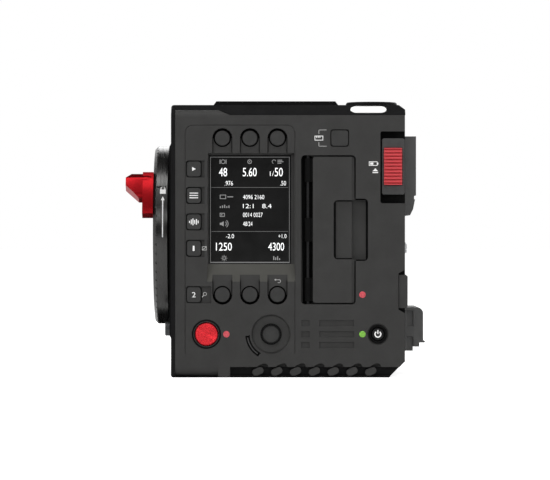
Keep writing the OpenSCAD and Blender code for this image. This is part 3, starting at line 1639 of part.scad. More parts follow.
// Finned sink pressed on the processors, its fins along the air stream
module heat_sink() {
  xa = main_board_x + board_t + chip_t;
  xb = cage_x0 - 2 * main_board_gap / 4;
  ya = key_board_y + board_t + main_board_gap / 2;
  half = (fin_plate_count - 1) / 2 * fin_plate_pitch + fin_plate_t;
  color(carriage_grey) {
    slab(xa, xa + sink_base_t, ya, board_y1, lens_z - half, lens_z + half);
    for (i = [0:fin_plate_count - 1]) {
      zc = lens_z + (i - (fin_plate_count - 1) / 2) * fin_plate_pitch;
      slab(xa + sink_base_t - fit_gap, xb, ya, board_y1, zc - fin_plate_t / 2, zc + fin_plate_t / 2);
    }
  }
}

strut_w = 3;
strut_t = 2;

module fan_housing() {
  color(black_paint) difference() {
    union() {
      difference() {
        along_y(fan_y0, fan_y1) polygon(rounded(fan_x - fan_size / 2, fan_x + fan_size / 2,
          lens_z - fan_size / 2, lens_z + fan_size / 2, strut_w));
        rod_y(fan_x, lens_z, fan_bore_r, fan_y0 - over, fan_y1 + over);
      }
      translate([fan_x, 0, lens_z]) for (i = [0:2]) {
        rotate([0, 120 * i + 30, 0])
          slab(0, fan_bore_r + over, fan_y0, fan_y0 + strut_t, -strut_w / 2, strut_w / 2);
      }
      rod_y(fan_x, lens_z, fan_hub_r, fan_y0, fan_y0 + strut_t);
      rod_y(fan_x, lens_z, fan_shaft_r, fan_y0, fan_y1 - strut_t);
    }
  }
}

rotor_blade_count = 7;
blade_tip_gap = 0.8;

module fan_rotor() {
  ya = fan_y0 + strut_t + blade_tip_gap;
  yb = fan_y1 - blade_tip_gap;
  color(screen_black) difference() {
    union() {
      rod_y(fan_x, lens_z, fan_hub_r, ya, yb);
      intersection() {
        rod_y(fan_x, lens_z, fan_bore_r - blade_tip_gap, ya, yb);
        translate([fan_x, (ya + yb) / 2, lens_z]) for (i = [0:rotor_blade_count - 1]) {
          rotate([0, 360 * i / rotor_blade_count, 0]) translate([fan_hub_r - over, 0, 0]) rotate([42, 0, 0])
            translate([0, -fan_t / 2, -blade_tip_gap])
              cube([fan_bore_r - fan_hub_r, fan_t, 2 * blade_tip_gap]);
        }
      }
    }
    rod_y(fan_x, lens_z, fan_shaft_r + running_gap, ya - over, fan_y1 - strut_t + 2 * running_gap);
  }
}

// Two video sockets, two audio sockets and a power inlet on the right cover
module side_sockets() {
  floor_y = -panel_y - socket_sink;
  for (i = [0:len(sockets) - 1]) {
    z = sockets[i][0];
    r = sockets[i][1];
    video = i > 2;
    color(video ? steel : black_paint) difference() {
      union() {
        rod_y(socket_x, z, r, -back_y - socket_sink, floor_y + fit_gap);
        rod_y(socket_x, z, r - (video ? socket_shoulder : fit_gap), floor_y,
          floor_y + (video ? 3 : 1) * socket_sink);
      }
      rod_y(socket_x, z, r * socket_bore_share, floor_y + socket_sink / 3, floor_y + 4 * socket_sink);
      rod_y(socket_x, z, r * socket_pin_share, floor_y, floor_y + 4 * socket_sink);
    }
  }
}

socket_shoulder = 1.2;
socket_bore_share = 0.66;
socket_pin_share = 0.2;

// Shank holes in the chassis
module screw_shanks() {
  for (x = side_screw_xs, z = side_screw_zs) {
    rod_y(x, z, screw_shank_r + fit_gap, -back_y - screw_len, -back_y + over);
  }
  for (s = top_screws) {
    rod_z(s[0], s[1], screw_shank_r + fit_gap, body_h - top_plate_sink - screw_len / 2, body_h);
  }
  for (s = base_screws) {
    rod_z(s[0], s[1], screw_shank_r + fit_gap, 0, base_z1 + screw_len / 4);
  }
  for (s = receiver_screws) {
    rod_x(s[0], s[1], screw_shank_r + fit_gap, x1 - screw_len / 2, x1 + over);
  }
}

// A screw with a hexagon socket whose head top is at the origin and whose own Z axis points out
module screw(length) {
  difference() {
    union() {
      translate([0, 0, -screw_h + fit_gap]) cylinder(r = screw_r, h = screw_h - fit_gap);
      translate([0, 0, -length]) cylinder(r = screw_shank_r, h = length - fit_gap);
    }
    translate([0, 0, -screw_h / 2]) cylinder(r = screw_r / 2, h = screw_h, $fn = 6);
  }
}

module cover_screws() {
  color(steel) {
    for (x = side_screw_xs, z = side_screw_zs) {
      translate([x, -panel_y, z]) rotate([-90, 0, 0]) screw(cover_t + screw_len - fit_gap);
    }
    for (s = top_screws) {
      translate([s[0], s[1], body_h + top_plate_proud])
        screw(top_plate_proud + top_plate_sink + screw_len / 2 - fit_gap);
    }
    for (s = base_screws) {
      translate([s[0], s[1], base_screw_sink]) rotate([180, 0, 0])
        screw(base_z1 + screw_len / 4 - base_screw_sink - fit_gap);
    }
    for (s = receiver_screws) {
      translate([receiver_x1 - 2 * screw_h, s[0], s[1]]) rotate([0, 90, 0])
        screw(receiver_t - 2 * screw_h + screw_len / 2 - fit_gap);
    }
  }
}

chassis();
left_side_cover();
right_side_cover();
top_plate();
top_cap();
base_plate();
foot_fins();
front_plate();
mount_base();
mount_flange();
mount_lock_ring();
mount_lever();
mount_fasteners();
lens_contacts();
front_record_button();
sensor_frame();
filter_glass();
image_sensor();
sensor_board();
screen_glass();
lcd_module();
soft_key_1();
soft_key_2();
soft_key_3();
soft_key_4();
soft_key_5();
soft_key_6();
play_key();
menu_key();
audio_key();
user_key_1();
user_key_2();
media_key();
record_bezel();
record_button();
power_bezel();
power_button();
red_lamps();
power_lamp();
dial_knob();
dial_encoder();
key_board();
media_door();
door_hinge();
door_hinge_pin();
media_cartridge();
media_cage();
battery_slider();
slider_grip();
battery_latch();
battery_receiver();
battery_pad();
battery_contact_block();
battery_contacts();
main_board();
heat_sink();
fan_housing();
fan_rotor();
side_sockets();
cover_screws();
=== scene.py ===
"""Looks of the digital cinema camera: finishes, softened edges, display, symbols and studio.

Places on the camera are in millimetres in the CAD frame and are turned into metres where a mesh is made.
The studio's sizes and places are in metres. +Z is up, the lens mount faces -X and the operator's panel
faces -Y.
"""
import math

import bmesh
import bpy
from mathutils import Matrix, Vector

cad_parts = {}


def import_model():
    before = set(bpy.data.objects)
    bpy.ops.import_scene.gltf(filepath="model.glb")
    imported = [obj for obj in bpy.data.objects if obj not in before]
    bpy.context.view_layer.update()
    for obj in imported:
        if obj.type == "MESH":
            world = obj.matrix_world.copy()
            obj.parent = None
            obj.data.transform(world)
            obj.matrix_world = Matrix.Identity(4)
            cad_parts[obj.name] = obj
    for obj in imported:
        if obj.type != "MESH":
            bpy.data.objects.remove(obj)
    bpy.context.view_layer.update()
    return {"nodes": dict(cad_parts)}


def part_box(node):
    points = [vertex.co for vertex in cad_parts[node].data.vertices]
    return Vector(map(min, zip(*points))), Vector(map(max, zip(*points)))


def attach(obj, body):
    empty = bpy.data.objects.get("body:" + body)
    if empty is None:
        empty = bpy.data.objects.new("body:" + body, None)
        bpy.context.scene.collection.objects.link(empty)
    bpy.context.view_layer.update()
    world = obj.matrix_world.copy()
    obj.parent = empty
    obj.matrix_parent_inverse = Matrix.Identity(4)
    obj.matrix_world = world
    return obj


MM = 0.001
BODY = "camera_body"

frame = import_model()


# Places taken from the frame

def box(node):
    """Lowest and highest corner of a CAD node, in millimetres."""
    lo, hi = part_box(node)
    return lo / MM, hi / MM


def middle(node):
    lo, hi = box(node)
    return (lo + hi) / 2


PANEL_Y = box("left_side_cover")[0].y
GLASS_LO, GLASS_HI = box("screen_glass")
RING_LO, RING_HI = box("mount_lock_ring")
LENS_Z = middle("mount_base").z
RING_R = (RING_HI.z - RING_LO.z) / 2
ROOF_Z = box("chassis")[1].z
SHOULDER_H = 5.0
SHOULDER_RUN = 7.5
SLIDER_LO, SLIDER_HI = box("battery_slider")
DOOR_LO, DOOR_HI = box("media_door")
HINGE_LO = box("door_hinge")[0]
DIAL = middle("dial_knob")


# Node helpers for the finishes

class Finish:
    """A principled material with short calls for procedural detail in the object's own space."""

    def __init__(self, name, colour, roughness, metallic=0.0, specular=0.5):
        self.material = bpy.data.materials.new(name)
        self.material.use_nodes = True
        self.tree = self.material.node_tree
        self.shader = self.tree.nodes["Principled BSDF"]
        self.colour = (*colour, 1.0)
        self.shader.inputs["Base Color"].default_value = self.colour
        self.shader.inputs["Roughness"].default_value = roughness
        self.shader.inputs["Metallic"].default_value = metallic
        self.shader.inputs["Specular IOR Level"].default_value = specular
        self.place = self.node("ShaderNodeTexCoord").outputs["Object"]
        self.normal = None

    def node(self, kind, **values):
        made = self.tree.nodes.new(kind)
        for key, value in values.items():
            if hasattr(made, key):
                setattr(made, key, value)
            else:
                made.inputs[key.replace("_", " ").title()].default_value = value
        return made

    def link(self, output, target):
        self.tree.links.new(output, target)

    def maths(self, operation, *values):
        """Result of a sum whose values are sockets or plain numbers."""
        made = self.node("ShaderNodeMath", operation=operation)
        for target, value in zip(made.inputs, values):
            if isinstance(value, (int, float)):
                target.default_value = value
            else:
                self.link(value, target)
        return made.outputs["Value"]

    def from_middle(self, node):
        """The shaded place, measured from the middle of a CAD node."""
        out = self.node("ShaderNodeVectorMath", operation="SUBTRACT")
        self.link(self.place, out.inputs[0])
        out.inputs[1].default_value = frame["nodes"][node].matrix_world.inverted() @ (middle(node) * MM)
        return out.outputs["Vector"]

    def noise(self, size, detail=3.0, stretch=(1.0, 1.0, 1.0)):
        """Noise whose grains are about `size` millimetres wide."""
        mapping = self.node("ShaderNodeMapping")
        mapping.inputs["Scale"].default_value = stretch
        self.link(self.place, mapping.inputs["Vector"])
        made = self.node("ShaderNodeTexNoise", scale=1.0 / (size * MM), detail=detail)
        self.link(mapping.outputs["Vector"], made.inputs["Vector"])
        return made.outputs["Fac"]

    def ramp(self, value, low, high, start=0.3, end=0.7):
        made = self.node("ShaderNodeMapRange")
        made.inputs["From Min"].default_value = start
        made.inputs["From Max"].default_value = end
        made.inputs["To Min"].default_value = low
        made.inputs["To Max"].default_value = high
        self.link(value, made.inputs["Value"])
        return made.outputs["Result"]

    def tint(self, value, other, start=0.35, end=0.65):
        """Blends the base colour into another one where the value is high."""
        made = self.node("ShaderNodeMix", data_type="RGBA")
        self.link(self.ramp(value, 0.0, 1.0, start, end), made.inputs["Factor"])
        made.inputs["A"].default_value = self.colour
        made.inputs["B"].default_value = (*other, 1.0)
        source = self.shader.inputs["Base Color"]
        if source.is_linked:
            self.link(source.links[0].from_socket, made.inputs["A"])
        self.link(made.outputs["Result"], source)

    def rough(self, value, low, high):
        self.link(self.ramp(value, low, high), self.shader.inputs["Roughness"])

    def bump(self, value, depth):
        """Relief of `depth` millimetres from a value between nought and one."""
        made = self.node("ShaderNodeBump", strength=1.0)
        made.inputs["Distance"].default_value = depth * MM
        self.link(value, made.inputs["Height"])
        if self.normal is not None:
            self.link(self.normal, made.inputs["Normal"])
        self.normal = made.outputs["Normal"]
        self.link(self.normal, self.shader.inputs["Normal"])

    def round_edges(self, radius):
        """Shades sharp edges as if they were rounded by `radius` millimetres."""
        made = self.node("ShaderNodeBevel")
        made.samples = 6
        made.inputs["Radius"].default_value = radius * MM
        self.normal = made.outputs["Normal"]

    def glow(self, colour, strength):
        self.shader.inputs["Emission Color"].default_value = (*colour, 1.0)
        self.shader.inputs["Emission Strength"].default_value = strength


def powder_coat(name, colour, lighter, roughness=0.62, specular=0.13, grain=0.4, depth=0.012, edge=0.0):
    """Matt paint with a fine grain; `edge` is the radius that its sharp edges seem to have."""
    made = Finish(name, colour, roughness, specular=specular)
    if edge:
        made.round_edges(edge)
    fine = made.noise(grain, 2.0)
    made.tint(made.noise(9.0), lighter)
    made.rough(made.noise(grain * 3), roughness - 0.07, roughness + 0.07)
    made.bump(fine, depth)
    made.bump(made.noise(grain * 6), depth)
    return made.material


def turned_metal(name, colour, lighter, roughness=0.3, stretch=(1.0, 1.0, 1.0), grain=0.25,
                 metallic=1.0, specular=0.5):
    """Metal with fine tool marks, drawn out along each axis whose stretch value is small."""
    made = Finish(name, colour, roughness, metallic, specular)
    marks = made.noise(grain, 4.0, stretch)
    made.tint(marks, lighter, 0.3, 0.8)
    made.rough(marks, roughness - 0.06, roughness + 0.1)
    made.bump(marks, 0.004)
    return made.material


def spun_metal(name, colour, lighter, node, pitch=0.3):
    """Metal turned about Y, whose fine circles round the node's middle draw highlights outwards."""
    made = Finish(name, colour, 0.24, 1.0)
    made.tint(made.noise(0.4, 4.0), lighter, 0.3, 0.8)
    made.rough(made.noise(0.6), 0.2, 0.3)
    circles = made.node("ShaderNodeTexWave", wave_type="RINGS", rings_direction="Y")
    circles.inputs["Scale"].default_value = 0.1 * math.pi / (pitch * MM)
    made.link(made.from_middle(node), circles.inputs["Vector"])
    made.bump(circles.outputs["Fac"], 0.05)
    return made.material


def moulded_finish(name, colour, lighter, roughness=0.55):
    made = Finish(name, colour, roughness, specular=0.18)
    made.tint(made.noise(4.0), lighter)
    made.rough(made.noise(1.2), roughness - 0.06, roughness + 0.08)
    made.bump(made.noise(0.3, 2.0), 0.008)
    return made


def moulded(*values):
    return moulded_finish(*values).material


def slotted(name, colour, lighter, node, inner, count):
    """A moulded finish with painted shade: the slots round the node's middle run on as dark dashes over its
    face.
    """
    made = moulded_finish(name, colour, lighter, 0.6)
    out = made.from_middle(node)
    flat = made.node("ShaderNodeVectorMath", operation="MULTIPLY")
    made.link(out, flat.inputs[0])
    flat.inputs[1].default_value = (1.0, 0.0, 1.0)
    radius = made.node("ShaderNodeVectorMath", operation="LENGTH")
    made.link(flat.outputs["Vector"], radius.inputs[0])
    parts = made.node("ShaderNodeSeparateXYZ")
    made.link(out, parts.inputs["Vector"])
    angle = made.maths("ARCTAN2", parts.outputs["Z"], parts.outputs["X"])
    wave = made.maths("COSINE", made.maths("MULTIPLY", angle, count))
    shade_dashes = made.ramp(wave, 1.0, 0.0, 0.05, 0.2)
    ring = made.ramp(radius.outputs["Value"], 0.0, 1.0, inner * MM, (inner + 0.06) * MM)
    made.tint(made.maths("MULTIPLY", shade_dashes, ring), BLACK_AND_SHADE_TONE, 0.3, 0.7)
    return made.material


def lamp_lens(name, colour, strength):
    made = Finish(name, [0.6 * c for c in colour], 0.25, specular=0.5)
    made.tint(made.noise(0.8), colour)
    made.bump(made.noise(0.3), 0.01)
    made.glow(colour, strength)
    return made.material


def display_face():
    made = Finish("display_face", (0.0122, 0.0122, 0.0122), 0.12, specular=0.15)
    made.tint(made.noise(12.0), (0.0135, 0.0135, 0.0135))
    made.rough(made.noise(5.0), 0.08, 0.16)
    made.bump(made.noise(6.0, 1.0), 0.002)
    return made.material


def printed(name, colour, strength=0.0):
    made = Finish(name, colour, 0.5, specular=0.3)
    made.tint(made.noise(0.5), [0.92 * c for c in colour])
    made.rough(made.noise(0.3), 0.42, 0.6)
    made.bump(made.noise(0.25), 0.003)
    if strength:
        made.glow(colour, strength)
    return made.material


def circuit_board(name):
    """Green solder mask over straight copper runs, with small bare pads."""
    made = Finish(name, (0.006, 0.06, 0.03), 0.35, specular=0.5)
    runs = made.node("ShaderNodeTexBrick", scale=220.0)
    runs.inputs["Mortar Size"].default_value = 0.06
    made.link(made.place, runs.inputs["Vector"])
    made.tint(runs.outputs["Fac"], (0.02, 0.13, 0.055), 0.2, 0.8)
    pads = made.node("ShaderNodeTexVoronoi", scale=420.0)
    made.link(made.place, pads.inputs["Vector"])
    made.tint(made.ramp(pads.outputs["Distance"], 1.0, 0.0, 0.12, 0.16), (0.5, 0.42, 0.2), 0.4, 0.6)
    made.bump(runs.outputs["Fac"], 0.02)
    return made.material


def sensor_face():
    made = Finish("sensor_face", (0.02, 0.03, 0.05), 0.12, specular=0.8)
    cells = made.node("ShaderNodeTexChecker", scale=900.0)
    made.link(made.place, cells.inputs["Vector"])
    made.tint(cells.outputs["Fac"], (0.06, 0.03, 0.07), 0.3, 0.7)
    made.bump(cells.outputs["Fac"], 0.004)
    made.shader.inputs["Coat Weight"].default_value = 0.6
    made.shader.inputs["Coat Roughness"].default_value = 0.05
    return made.material


def coated_glass():
    made = Finish("coated_glass", (0.55, 0.75, 0.72), 0.03, specular=0.6)
    made.shader.inputs["Transmission Weight"].default_value = 0.85
    made.rough(made.noise(4.0), 0.02, 0.06)
    made.bump(made.noise(8.0, 1.0), 0.002)
    return made.material


COVER_GREY = (0.041, 0.0405, 0.0395)
COVER_LIGHT = (0.046, 0.0455, 0.0445)
BLACK = (0.0052, 0.0052, 0.0055)
BLACK_LIGHT = (0.0072, 0.0072, 0.0075)
# Black of the bezels, also the tone of the painted shade in recesses and on the dial knob's slots
BLACK_AND_SHADE_TONE = (0.0045, 0.0045, 0.0045)
DIAL_SLOTS = 36
SHADE_DASH_INNER_R = 3.5

COVER = powder_coat("cover_coat", COVER_GREY, COVER_LIGHT)
PANEL_COAT = powder_coat("panel_coat", COVER_GREY, COVER_LIGHT, edge=0.3)
CHASSIS = powder_coat("chassis_coat", BLACK, BLACK_LIGHT, 0.5, 0.08)
REAR_COAT = powder_coat("rear_coat", (0.098, 0.098, 0.097), (0.108, 0.108, 0.107), 0.55)
# Painted light: the sill's upward slope is given a lighter grey than the panel
PAINTED_LIGHT_SILL = powder_coat("sill_painted_light", (0.07, 0.069, 0.062), (0.076, 0.075, 0.068), 0.6)
# Painted light: the sunk floors of the finger pull and the dial dish are given a lighter grey than the
# panel, against their shade
PAINTED_LIGHT_FLOOR = powder_coat("sunk_floor_painted_light", (0.055, 0.0545, 0.053), (0.06, 0.0595, 0.058), 0.6)
# Black of the bezels and the door hinge, also used as painted shade on recess walls and floors, slot walls
# and dark lines
BLACK_AND_PAINTED_SHADE = powder_coat("black_and_painted_shade", BLACK_AND_SHADE_TONE, (0.006, 0.006, 0.006), 0.8, 0.05)
RING_COAT = turned_metal("ring_anodised", (0.04, 0.04, 0.039), (0.044, 0.043, 0.042), 0.24,
                         (1.0, 0.02, 0.02), 0.5, 0.7)
KEY = moulded("key_grey", (0.036, 0.036, 0.0355), (0.041, 0.041, 0.04), 0.6)
# Grey of the dial knob, with painted shade: dark dashes in line with its slots
DIAL_GREY_SLOT_SHADE = slotted("dial_grey_slot_shade", (0.038, 0.038, 0.0375), (0.043, 0.043, 0.042), "dial_knob",
                    SHADE_DASH_INNER_R, DIAL_SLOTS)
CARRIAGE = moulded("carriage_grey", (0.052, 0.052, 0.052), (0.06, 0.06, 0.06), 0.5)
DARK_PLASTIC = moulded("dark_plastic", (0.006, 0.006, 0.0063), (0.009, 0.009, 0.0093), 0.45)
GREY_METAL = turned_metal("dark_grey_metal", (0.045, 0.047, 0.05), (0.06, 0.062, 0.065), 0.4,
                          metallic=0.5)
RED_METAL = turned_metal("red_anodised", (0.2, 0.003, 0.005), (0.24, 0.004, 0.007), metallic=0.75,
                         specular=0.1)
CAP_RED = spun_metal("cap_red", (0.5, 0.018, 0.024), (0.66, 0.04, 0.05), "record_button")
GRIP_RED = powder_coat("grip_red", (0.6, 0.045, 0.055), (0.64, 0.055, 0.065), 0.42, 0.4, 0.25, 0.006)
STEEL = turned_metal("turned_steel", (0.55, 0.55, 0.56), (0.66, 0.66, 0.66), 0.26)
ALUMINIUM = powder_coat("blasted_aluminium", (0.42, 0.43, 0.44), (0.5, 0.5, 0.51), 0.4, 0.6)
GOLD = turned_metal("gold_plate", (0.75, 0.52, 0.18), (0.85, 0.62, 0.25), 0.25)
BOARD = circuit_board("solder_mask")
SENSOR = sensor_face()
FILTER = coated_glass()
DISPLAY = display_face()
RED_LAMP = lamp_lens("red_lamp_lens", (0.58, 0.07, 0.09), 0.3)
GREEN_LAMP = lamp_lens("green_lamp_lens", (0.17, 0.42, 0.045), 0.35)
# White print that also glows a little: the glow is painted light
WHITE_PRINT_GLOWING = printed("white_print", (0.86, 0.86, 0.85), 0.15)
SOFT_PRINT = printed("soft_white_print", (0.5, 0.5, 0.49))
LIT_WHITE = printed("lit_white", (0.85, 0.86, 0.86), 0.75)
LIT_GREY = printed("lit_grey", (0.2, 0.2, 0.2), 0.6)
LIT_LINE = printed("lit_line", (0.13, 0.13, 0.13), 0.5)
PAD_TINT = printed("pad_tint", (0.031, 0.031, 0.0305))


# Finish and width of the softened edges of each CAD node; nought keeps its edges crisp

SOFTEN = {
    "left_side_cover": (PANEL_COAT, 0.0), "right_side_cover": (PANEL_COAT, 0.0), "chassis": (CHASSIS, 0.35),
    "top_plate": (CHASSIS, 0.3), "top_cap": (CHASSIS, 0.18), "base_plate": (CHASSIS, 0.3),
    "foot_fins": (COVER, 0.25), "front_plate": (CHASSIS, 0.2), "mount_base": (CHASSIS, 0.15),
    "mount_flange": (STEEL, 0.12), "mount_lock_ring": (RING_COAT, 0.15), "mount_lever": (RED_METAL, 0.4),
    "mount_fasteners": (STEEL, 0.1), "lens_contacts": (DARK_PLASTIC, 0.1),
    "front_record_button": (GREY_METAL, 0.3), "sensor_frame": (CHASSIS, 0.2), "filter_glass": (FILTER, 0.1),
    "image_sensor": (SENSOR, 0.1), "sensor_board": (BOARD, 0.0), "screen_glass": (DISPLAY, 0.12),
    "lcd_module": (DARK_PLASTIC, 0.0), "record_bezel": (BLACK_AND_PAINTED_SHADE, 0.12), "record_button": (CAP_RED, 0.15),
    "power_bezel": (BLACK_AND_PAINTED_SHADE, 0.1), "power_button": (DARK_PLASTIC, 0.2), "red_lamps": (RED_LAMP, 0.15),
    "power_lamp": (GREEN_LAMP, 0.15), "dial_knob": (DIAL_GREY_SLOT_SHADE, 0.0), "dial_encoder": (STEEL, 0.0),
    "key_board": (BOARD, 0.0), "media_door": (COVER, 0.25), "door_hinge": (BLACK_AND_PAINTED_SHADE, 0.15),
    "door_hinge_pin": (DARK_PLASTIC, 0.05), "media_cartridge": (ALUMINIUM, 0.4),
    "media_cage": (ALUMINIUM, 0.2), "battery_slider": (CARRIAGE, 0.25), "slider_grip": (GRIP_RED, 0.12),
    "battery_latch": (STEEL, 0.2), "battery_receiver": (REAR_COAT, 0.3), "battery_pad": (COVER, 0.25),
    "battery_contact_block": (REAR_COAT, 0.2), "battery_contacts": (GOLD, 0.15),
    "main_board": (BOARD, 0.0), "heat_sink": (ALUMINIUM, 0.0),
    "fan_housing": (DARK_PLASTIC, 0.15), "fan_rotor": (DARK_PLASTIC, 0.1), "side_sockets": (STEEL, 0.12),
    "cover_screws": (STEEL, 0.08),
}
ROUND_KEYS = ["soft_key_%d" % i for i in range(1, 7)]
SQUARE_KEYS = ["play_key", "menu_key", "audio_key", "user_key_1", "user_key_2", "media_key"]
for key in ROUND_KEYS + SQUARE_KEYS:
    SOFTEN[key] = (KEY, 0.3)


WELD_GAP = 0.002
FLAT_ANGLE = math.radians(0.3)
BEVEL_ANGLE = math.radians(30)
SPLIT_ANGLE = math.radians(28)
EDGE_STEPS = 3


def soften(node, material, width):
    """Gives a CAD node its finish and rounds its sharp edges by a small width in millimetres."""
    piece = frame["nodes"][node]
    piece.data.materials.clear()
    piece.data.materials.append(material)
    piece.data.polygons.foreach_set("use_smooth", [True] * len(piece.data.polygons))
    weld = piece.modifiers.new("join", "WELD")
    weld.merge_threshold = WELD_GAP * MM
    if width:
        flat = piece.modifiers.new("flat_faces", "DECIMATE")
        flat.decimate_type = "DISSOLVE"
        flat.delimit = {"MATERIAL"}
        flat.angle_limit = FLAT_ANGLE
        edge = piece.modifiers.new("soft_edges", "BEVEL")
        edge.limit_method = "ANGLE"
        edge.angle_limit = BEVEL_ANGLE
        edge.width = width * MM
        edge.segments = EDGE_STEPS
        edge.use_clamp_overlap = True
        edge.harden_normals = False
        edge.miter_outer = "MITER_ARC"
    else:
        crisp = piece.modifiers.new("crisp_edges", "EDGE_SPLIT")
        crisp.split_angle = SPLIT_ANGLE
    shade = piece.modifiers.new("even_light", "WEIGHTED_NORMAL")
    shade.keep_sharp = True
    shade.weight = 60


def finish_faces(node, material, chosen):
    """Gives another finish to the faces of a node that a test on their middle and normal picks."""
    piece = frame["nodes"][node]
    piece.data.materials.append(material)
    slot = len(piece.data.materials) - 1
    place = piece.matrix_world
    turn = place.to_3x3()
    for face in piece.data.polygons:
        if chosen(place @ face.center / MM, turn @ face.normal):
            face.material_index = slot


# Faces of the panel given painted shade (black) and painted light (a lighter grey), found by the middle c
# and the normal n of each.
# The margins say how far a recess reaches past the piece that sits in it.

SKIN = 0.1
POCKET_FRONT, POCKET_BELOW, POCKET_ABOVE, POCKET_DEPTH = 1.0, 4.3, 3.4, 4.2
HINGE_FRONT, HINGE_REAR, HINGE_ENDS = 1.2, 0.05, 3.5
SILL_FRONT, SILL_REAR, SILL_BELOW, SILL_ABOVE = 2.0, 3.0, 9.0, 0.2
MARK_INNER, MARK_OUTER, MARK_DEPTH = 10.0, 12.4, 2.0
DISH_R = 9.0
PULL_MARGIN = 4.0
PULL_HALF_H = 18.0
SUNK_DEPTH = 5.0
KEY_HEAD = 2.0

# Share of a normal that makes its face a rising, a front or a flat one, and the most of a side wall's
RISING, FACING, FLAT, SIDEWAYS = 0.15, 0.8, 0.9, 0.1


def in_slider_pocket(c, n):
    return (SLIDER_LO.x - POCKET_FRONT < c.x
            and SLIDER_LO.z - POCKET_BELOW < c.z < SLIDER_HI.z + POCKET_ABOVE
            and PANEL_Y + SKIN < c.y < PANEL_Y + POCKET_DEPTH)


def in_hinge_recess(c, n):
    return (HINGE_LO.x - HINGE_FRONT < c.x < DOOR_LO.x + HINGE_REAR
            and DOOR_LO.z - HINGE_ENDS < c.z < DOOR_HI.z + HINGE_ENDS and c.y > PANEL_Y + SKIN)


def on_sill(c, n):
    return (GLASS_LO.x - SILL_FRONT < c.x < GLASS_HI.x + SILL_REAR
            and GLASS_LO.z - SILL_BELOW < c.z < GLASS_LO.z + SILL_ABOVE and n.z > RISING and n.y < -FACING)


def from_dial(c):
    return math.hypot(c.x - DIAL.x, c.z - DIAL.z)


def in_dial_mark(c, n):
    return MARK_INNER < from_dial(c) < MARK_OUTER and PANEL_Y + 3 * SKIN < c.y < PANEL_Y + MARK_DEPTH


def by_finger_pull(c):
    return (DOOR_HI.x - PULL_MARGIN < c.x < SLIDER_LO.x - PULL_MARGIN
            and abs(c.z - (DOOR_LO.z + DOOR_HI.z) / 2) < PULL_HALF_H)


def on_pull_wall(c, n):
    return by_finger_pull(c) and abs(n.y) < FACING and PANEL_Y + 1.5 * SKIN < c.y < PANEL_Y + SUNK_DEPTH


def on_sunk_floor(c, n):
    return ((by_finger_pull(c) or from_dial(c) < DISH_R) and n.y < -FLAT
            and PANEL_Y + 10 * SKIN < c.y < PANEL_Y + SUNK_DEPTH)


for node, (material, width) in SOFTEN.items():
    soften(node, material, width)
# Painted shade: black in the dial mark, on the pull's walls, in the slider pocket and the hinge recess.
# Painted light: a lighter grey on the sunk floors and the upward sill.
for material, chosen in ((BLACK_AND_PAINTED_SHADE, in_dial_mark), (PAINTED_LIGHT_FLOOR, on_sunk_floor), (BLACK_AND_PAINTED_SHADE, on_pull_wall),
                         (BLACK_AND_PAINTED_SHADE, in_slider_pocket), (BLACK_AND_PAINTED_SHADE, in_hinge_recess), (PAINTED_LIGHT_SILL, on_sill)):
    finish_faces("left_side_cover", material, chosen)
# Painted shade: the walls of the dial knob's slots are given the black
finish_faces("dial_knob", BLACK_AND_PAINTED_SHADE, lambda c, n: n.y > -SIDEWAYS)
# Painted shade: the faces of the round keys deeper than their heads are given the black
for key in ROUND_KEYS:
    finish_faces(key, BLACK_AND_PAINTED_SHADE, lambda c, n, front=box(key)[0].y: c.y > front + KEY_HEAD)


# Meshes made in the scene

PROUD = 0.01
PRINT_RISE = 0.03


def piece_of(name, vertices, faces, material, body):
    """A mesh piece from places in millimetres that rides on a body."""
    mesh = bpy.data.meshes.new(name)
    mesh.from_pydata([tuple(c * MM for c in v) for v in vertices], [], faces)
    work = bmesh.new()
    work.from_mesh(mesh)
    bmesh.ops.recalc_face_normals(work, faces=work.faces)
    work.to_mesh(mesh)
    work.free()
    mesh.polygons.foreach_set("use_smooth", [False] * len(mesh.polygons))
    mesh.materials.append(material)
    made = bpy.data.objects.new(name, mesh)
    bpy.context.scene.collection.objects.link(made)
    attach(made, body)
    return made


def on_panel(y):
    """Places an outline in X and Z on a plane that faces the operator."""
    return lambda x, z, rise: (x, y - rise, z)


def over(node):
    """The plane just proud of a node's face on the operator's side."""
    return on_panel(box(node)[0].y - PROUD)


def plates(name, outlines, place, material, body=BODY, rise=PRINT_RISE):
    """Thin raised forms, one for each outline."""
    vertices, faces = [], []
    for outline in outlines:
        start, n = len(vertices), len(outline)
        vertices += [place(x, z, 0.0) for x, z in outline] + [place(x, z, rise) for x, z in outline]
        faces.append([start + i for i in range(n)])
        faces.append([start + n + i for i in range(n)])
        for i in range(n):
            after = (i + 1) % n
            faces.append([start + i, start + after, start + n + after, start + n + i])
    return piece_of(name, vertices, faces, material, body)


def bar(x0, x1, z0, z1):
    return [(x0, z0), (x1, z0), (x1, z1), (x0, z1)]


def arc(cx, cz, r, a0, a1, n=16):
    return [(cx + r * math.cos(math.radians(a0 + (a1 - a0) * i / n)),
             cz + r * math.sin(math.radians(a0 + (a1 - a0) * i / n))) for i in range(n + 1)]


def band(cx, cz, inner, outer, a0=0.0, a1=359.9, n=32):
    return arc(cx, cz, outer, a0, a1, n) + arc(cx, cz, inner, a1, a0, n)


def round_bar(x0, x1, z0, z1, r):
    return (arc(x1 - r, z1 - r, r, 0, 90, 6) + arc(x0 + r, z1 - r, r, 90, 180, 6)
            + arc(x0 + r, z0 + r, r, 180, 270, 6) + arc(x1 - r, z0 + r, r, 270, 360, 6))


def stroke(x0, z0, x1, z1, w):
    """A straight line of width w."""
    along = Vector((x1 - x0, z1 - z0)).normalized() * w / 2
    side = Vector((-along.y, along.x))
    return [(x0 - side.x, z0 - side.y), (x1 - side.x, z1 - side.y), (x1 + side.x, z1 + side.y),
            (x0 + side.x, z0 + side.y)]


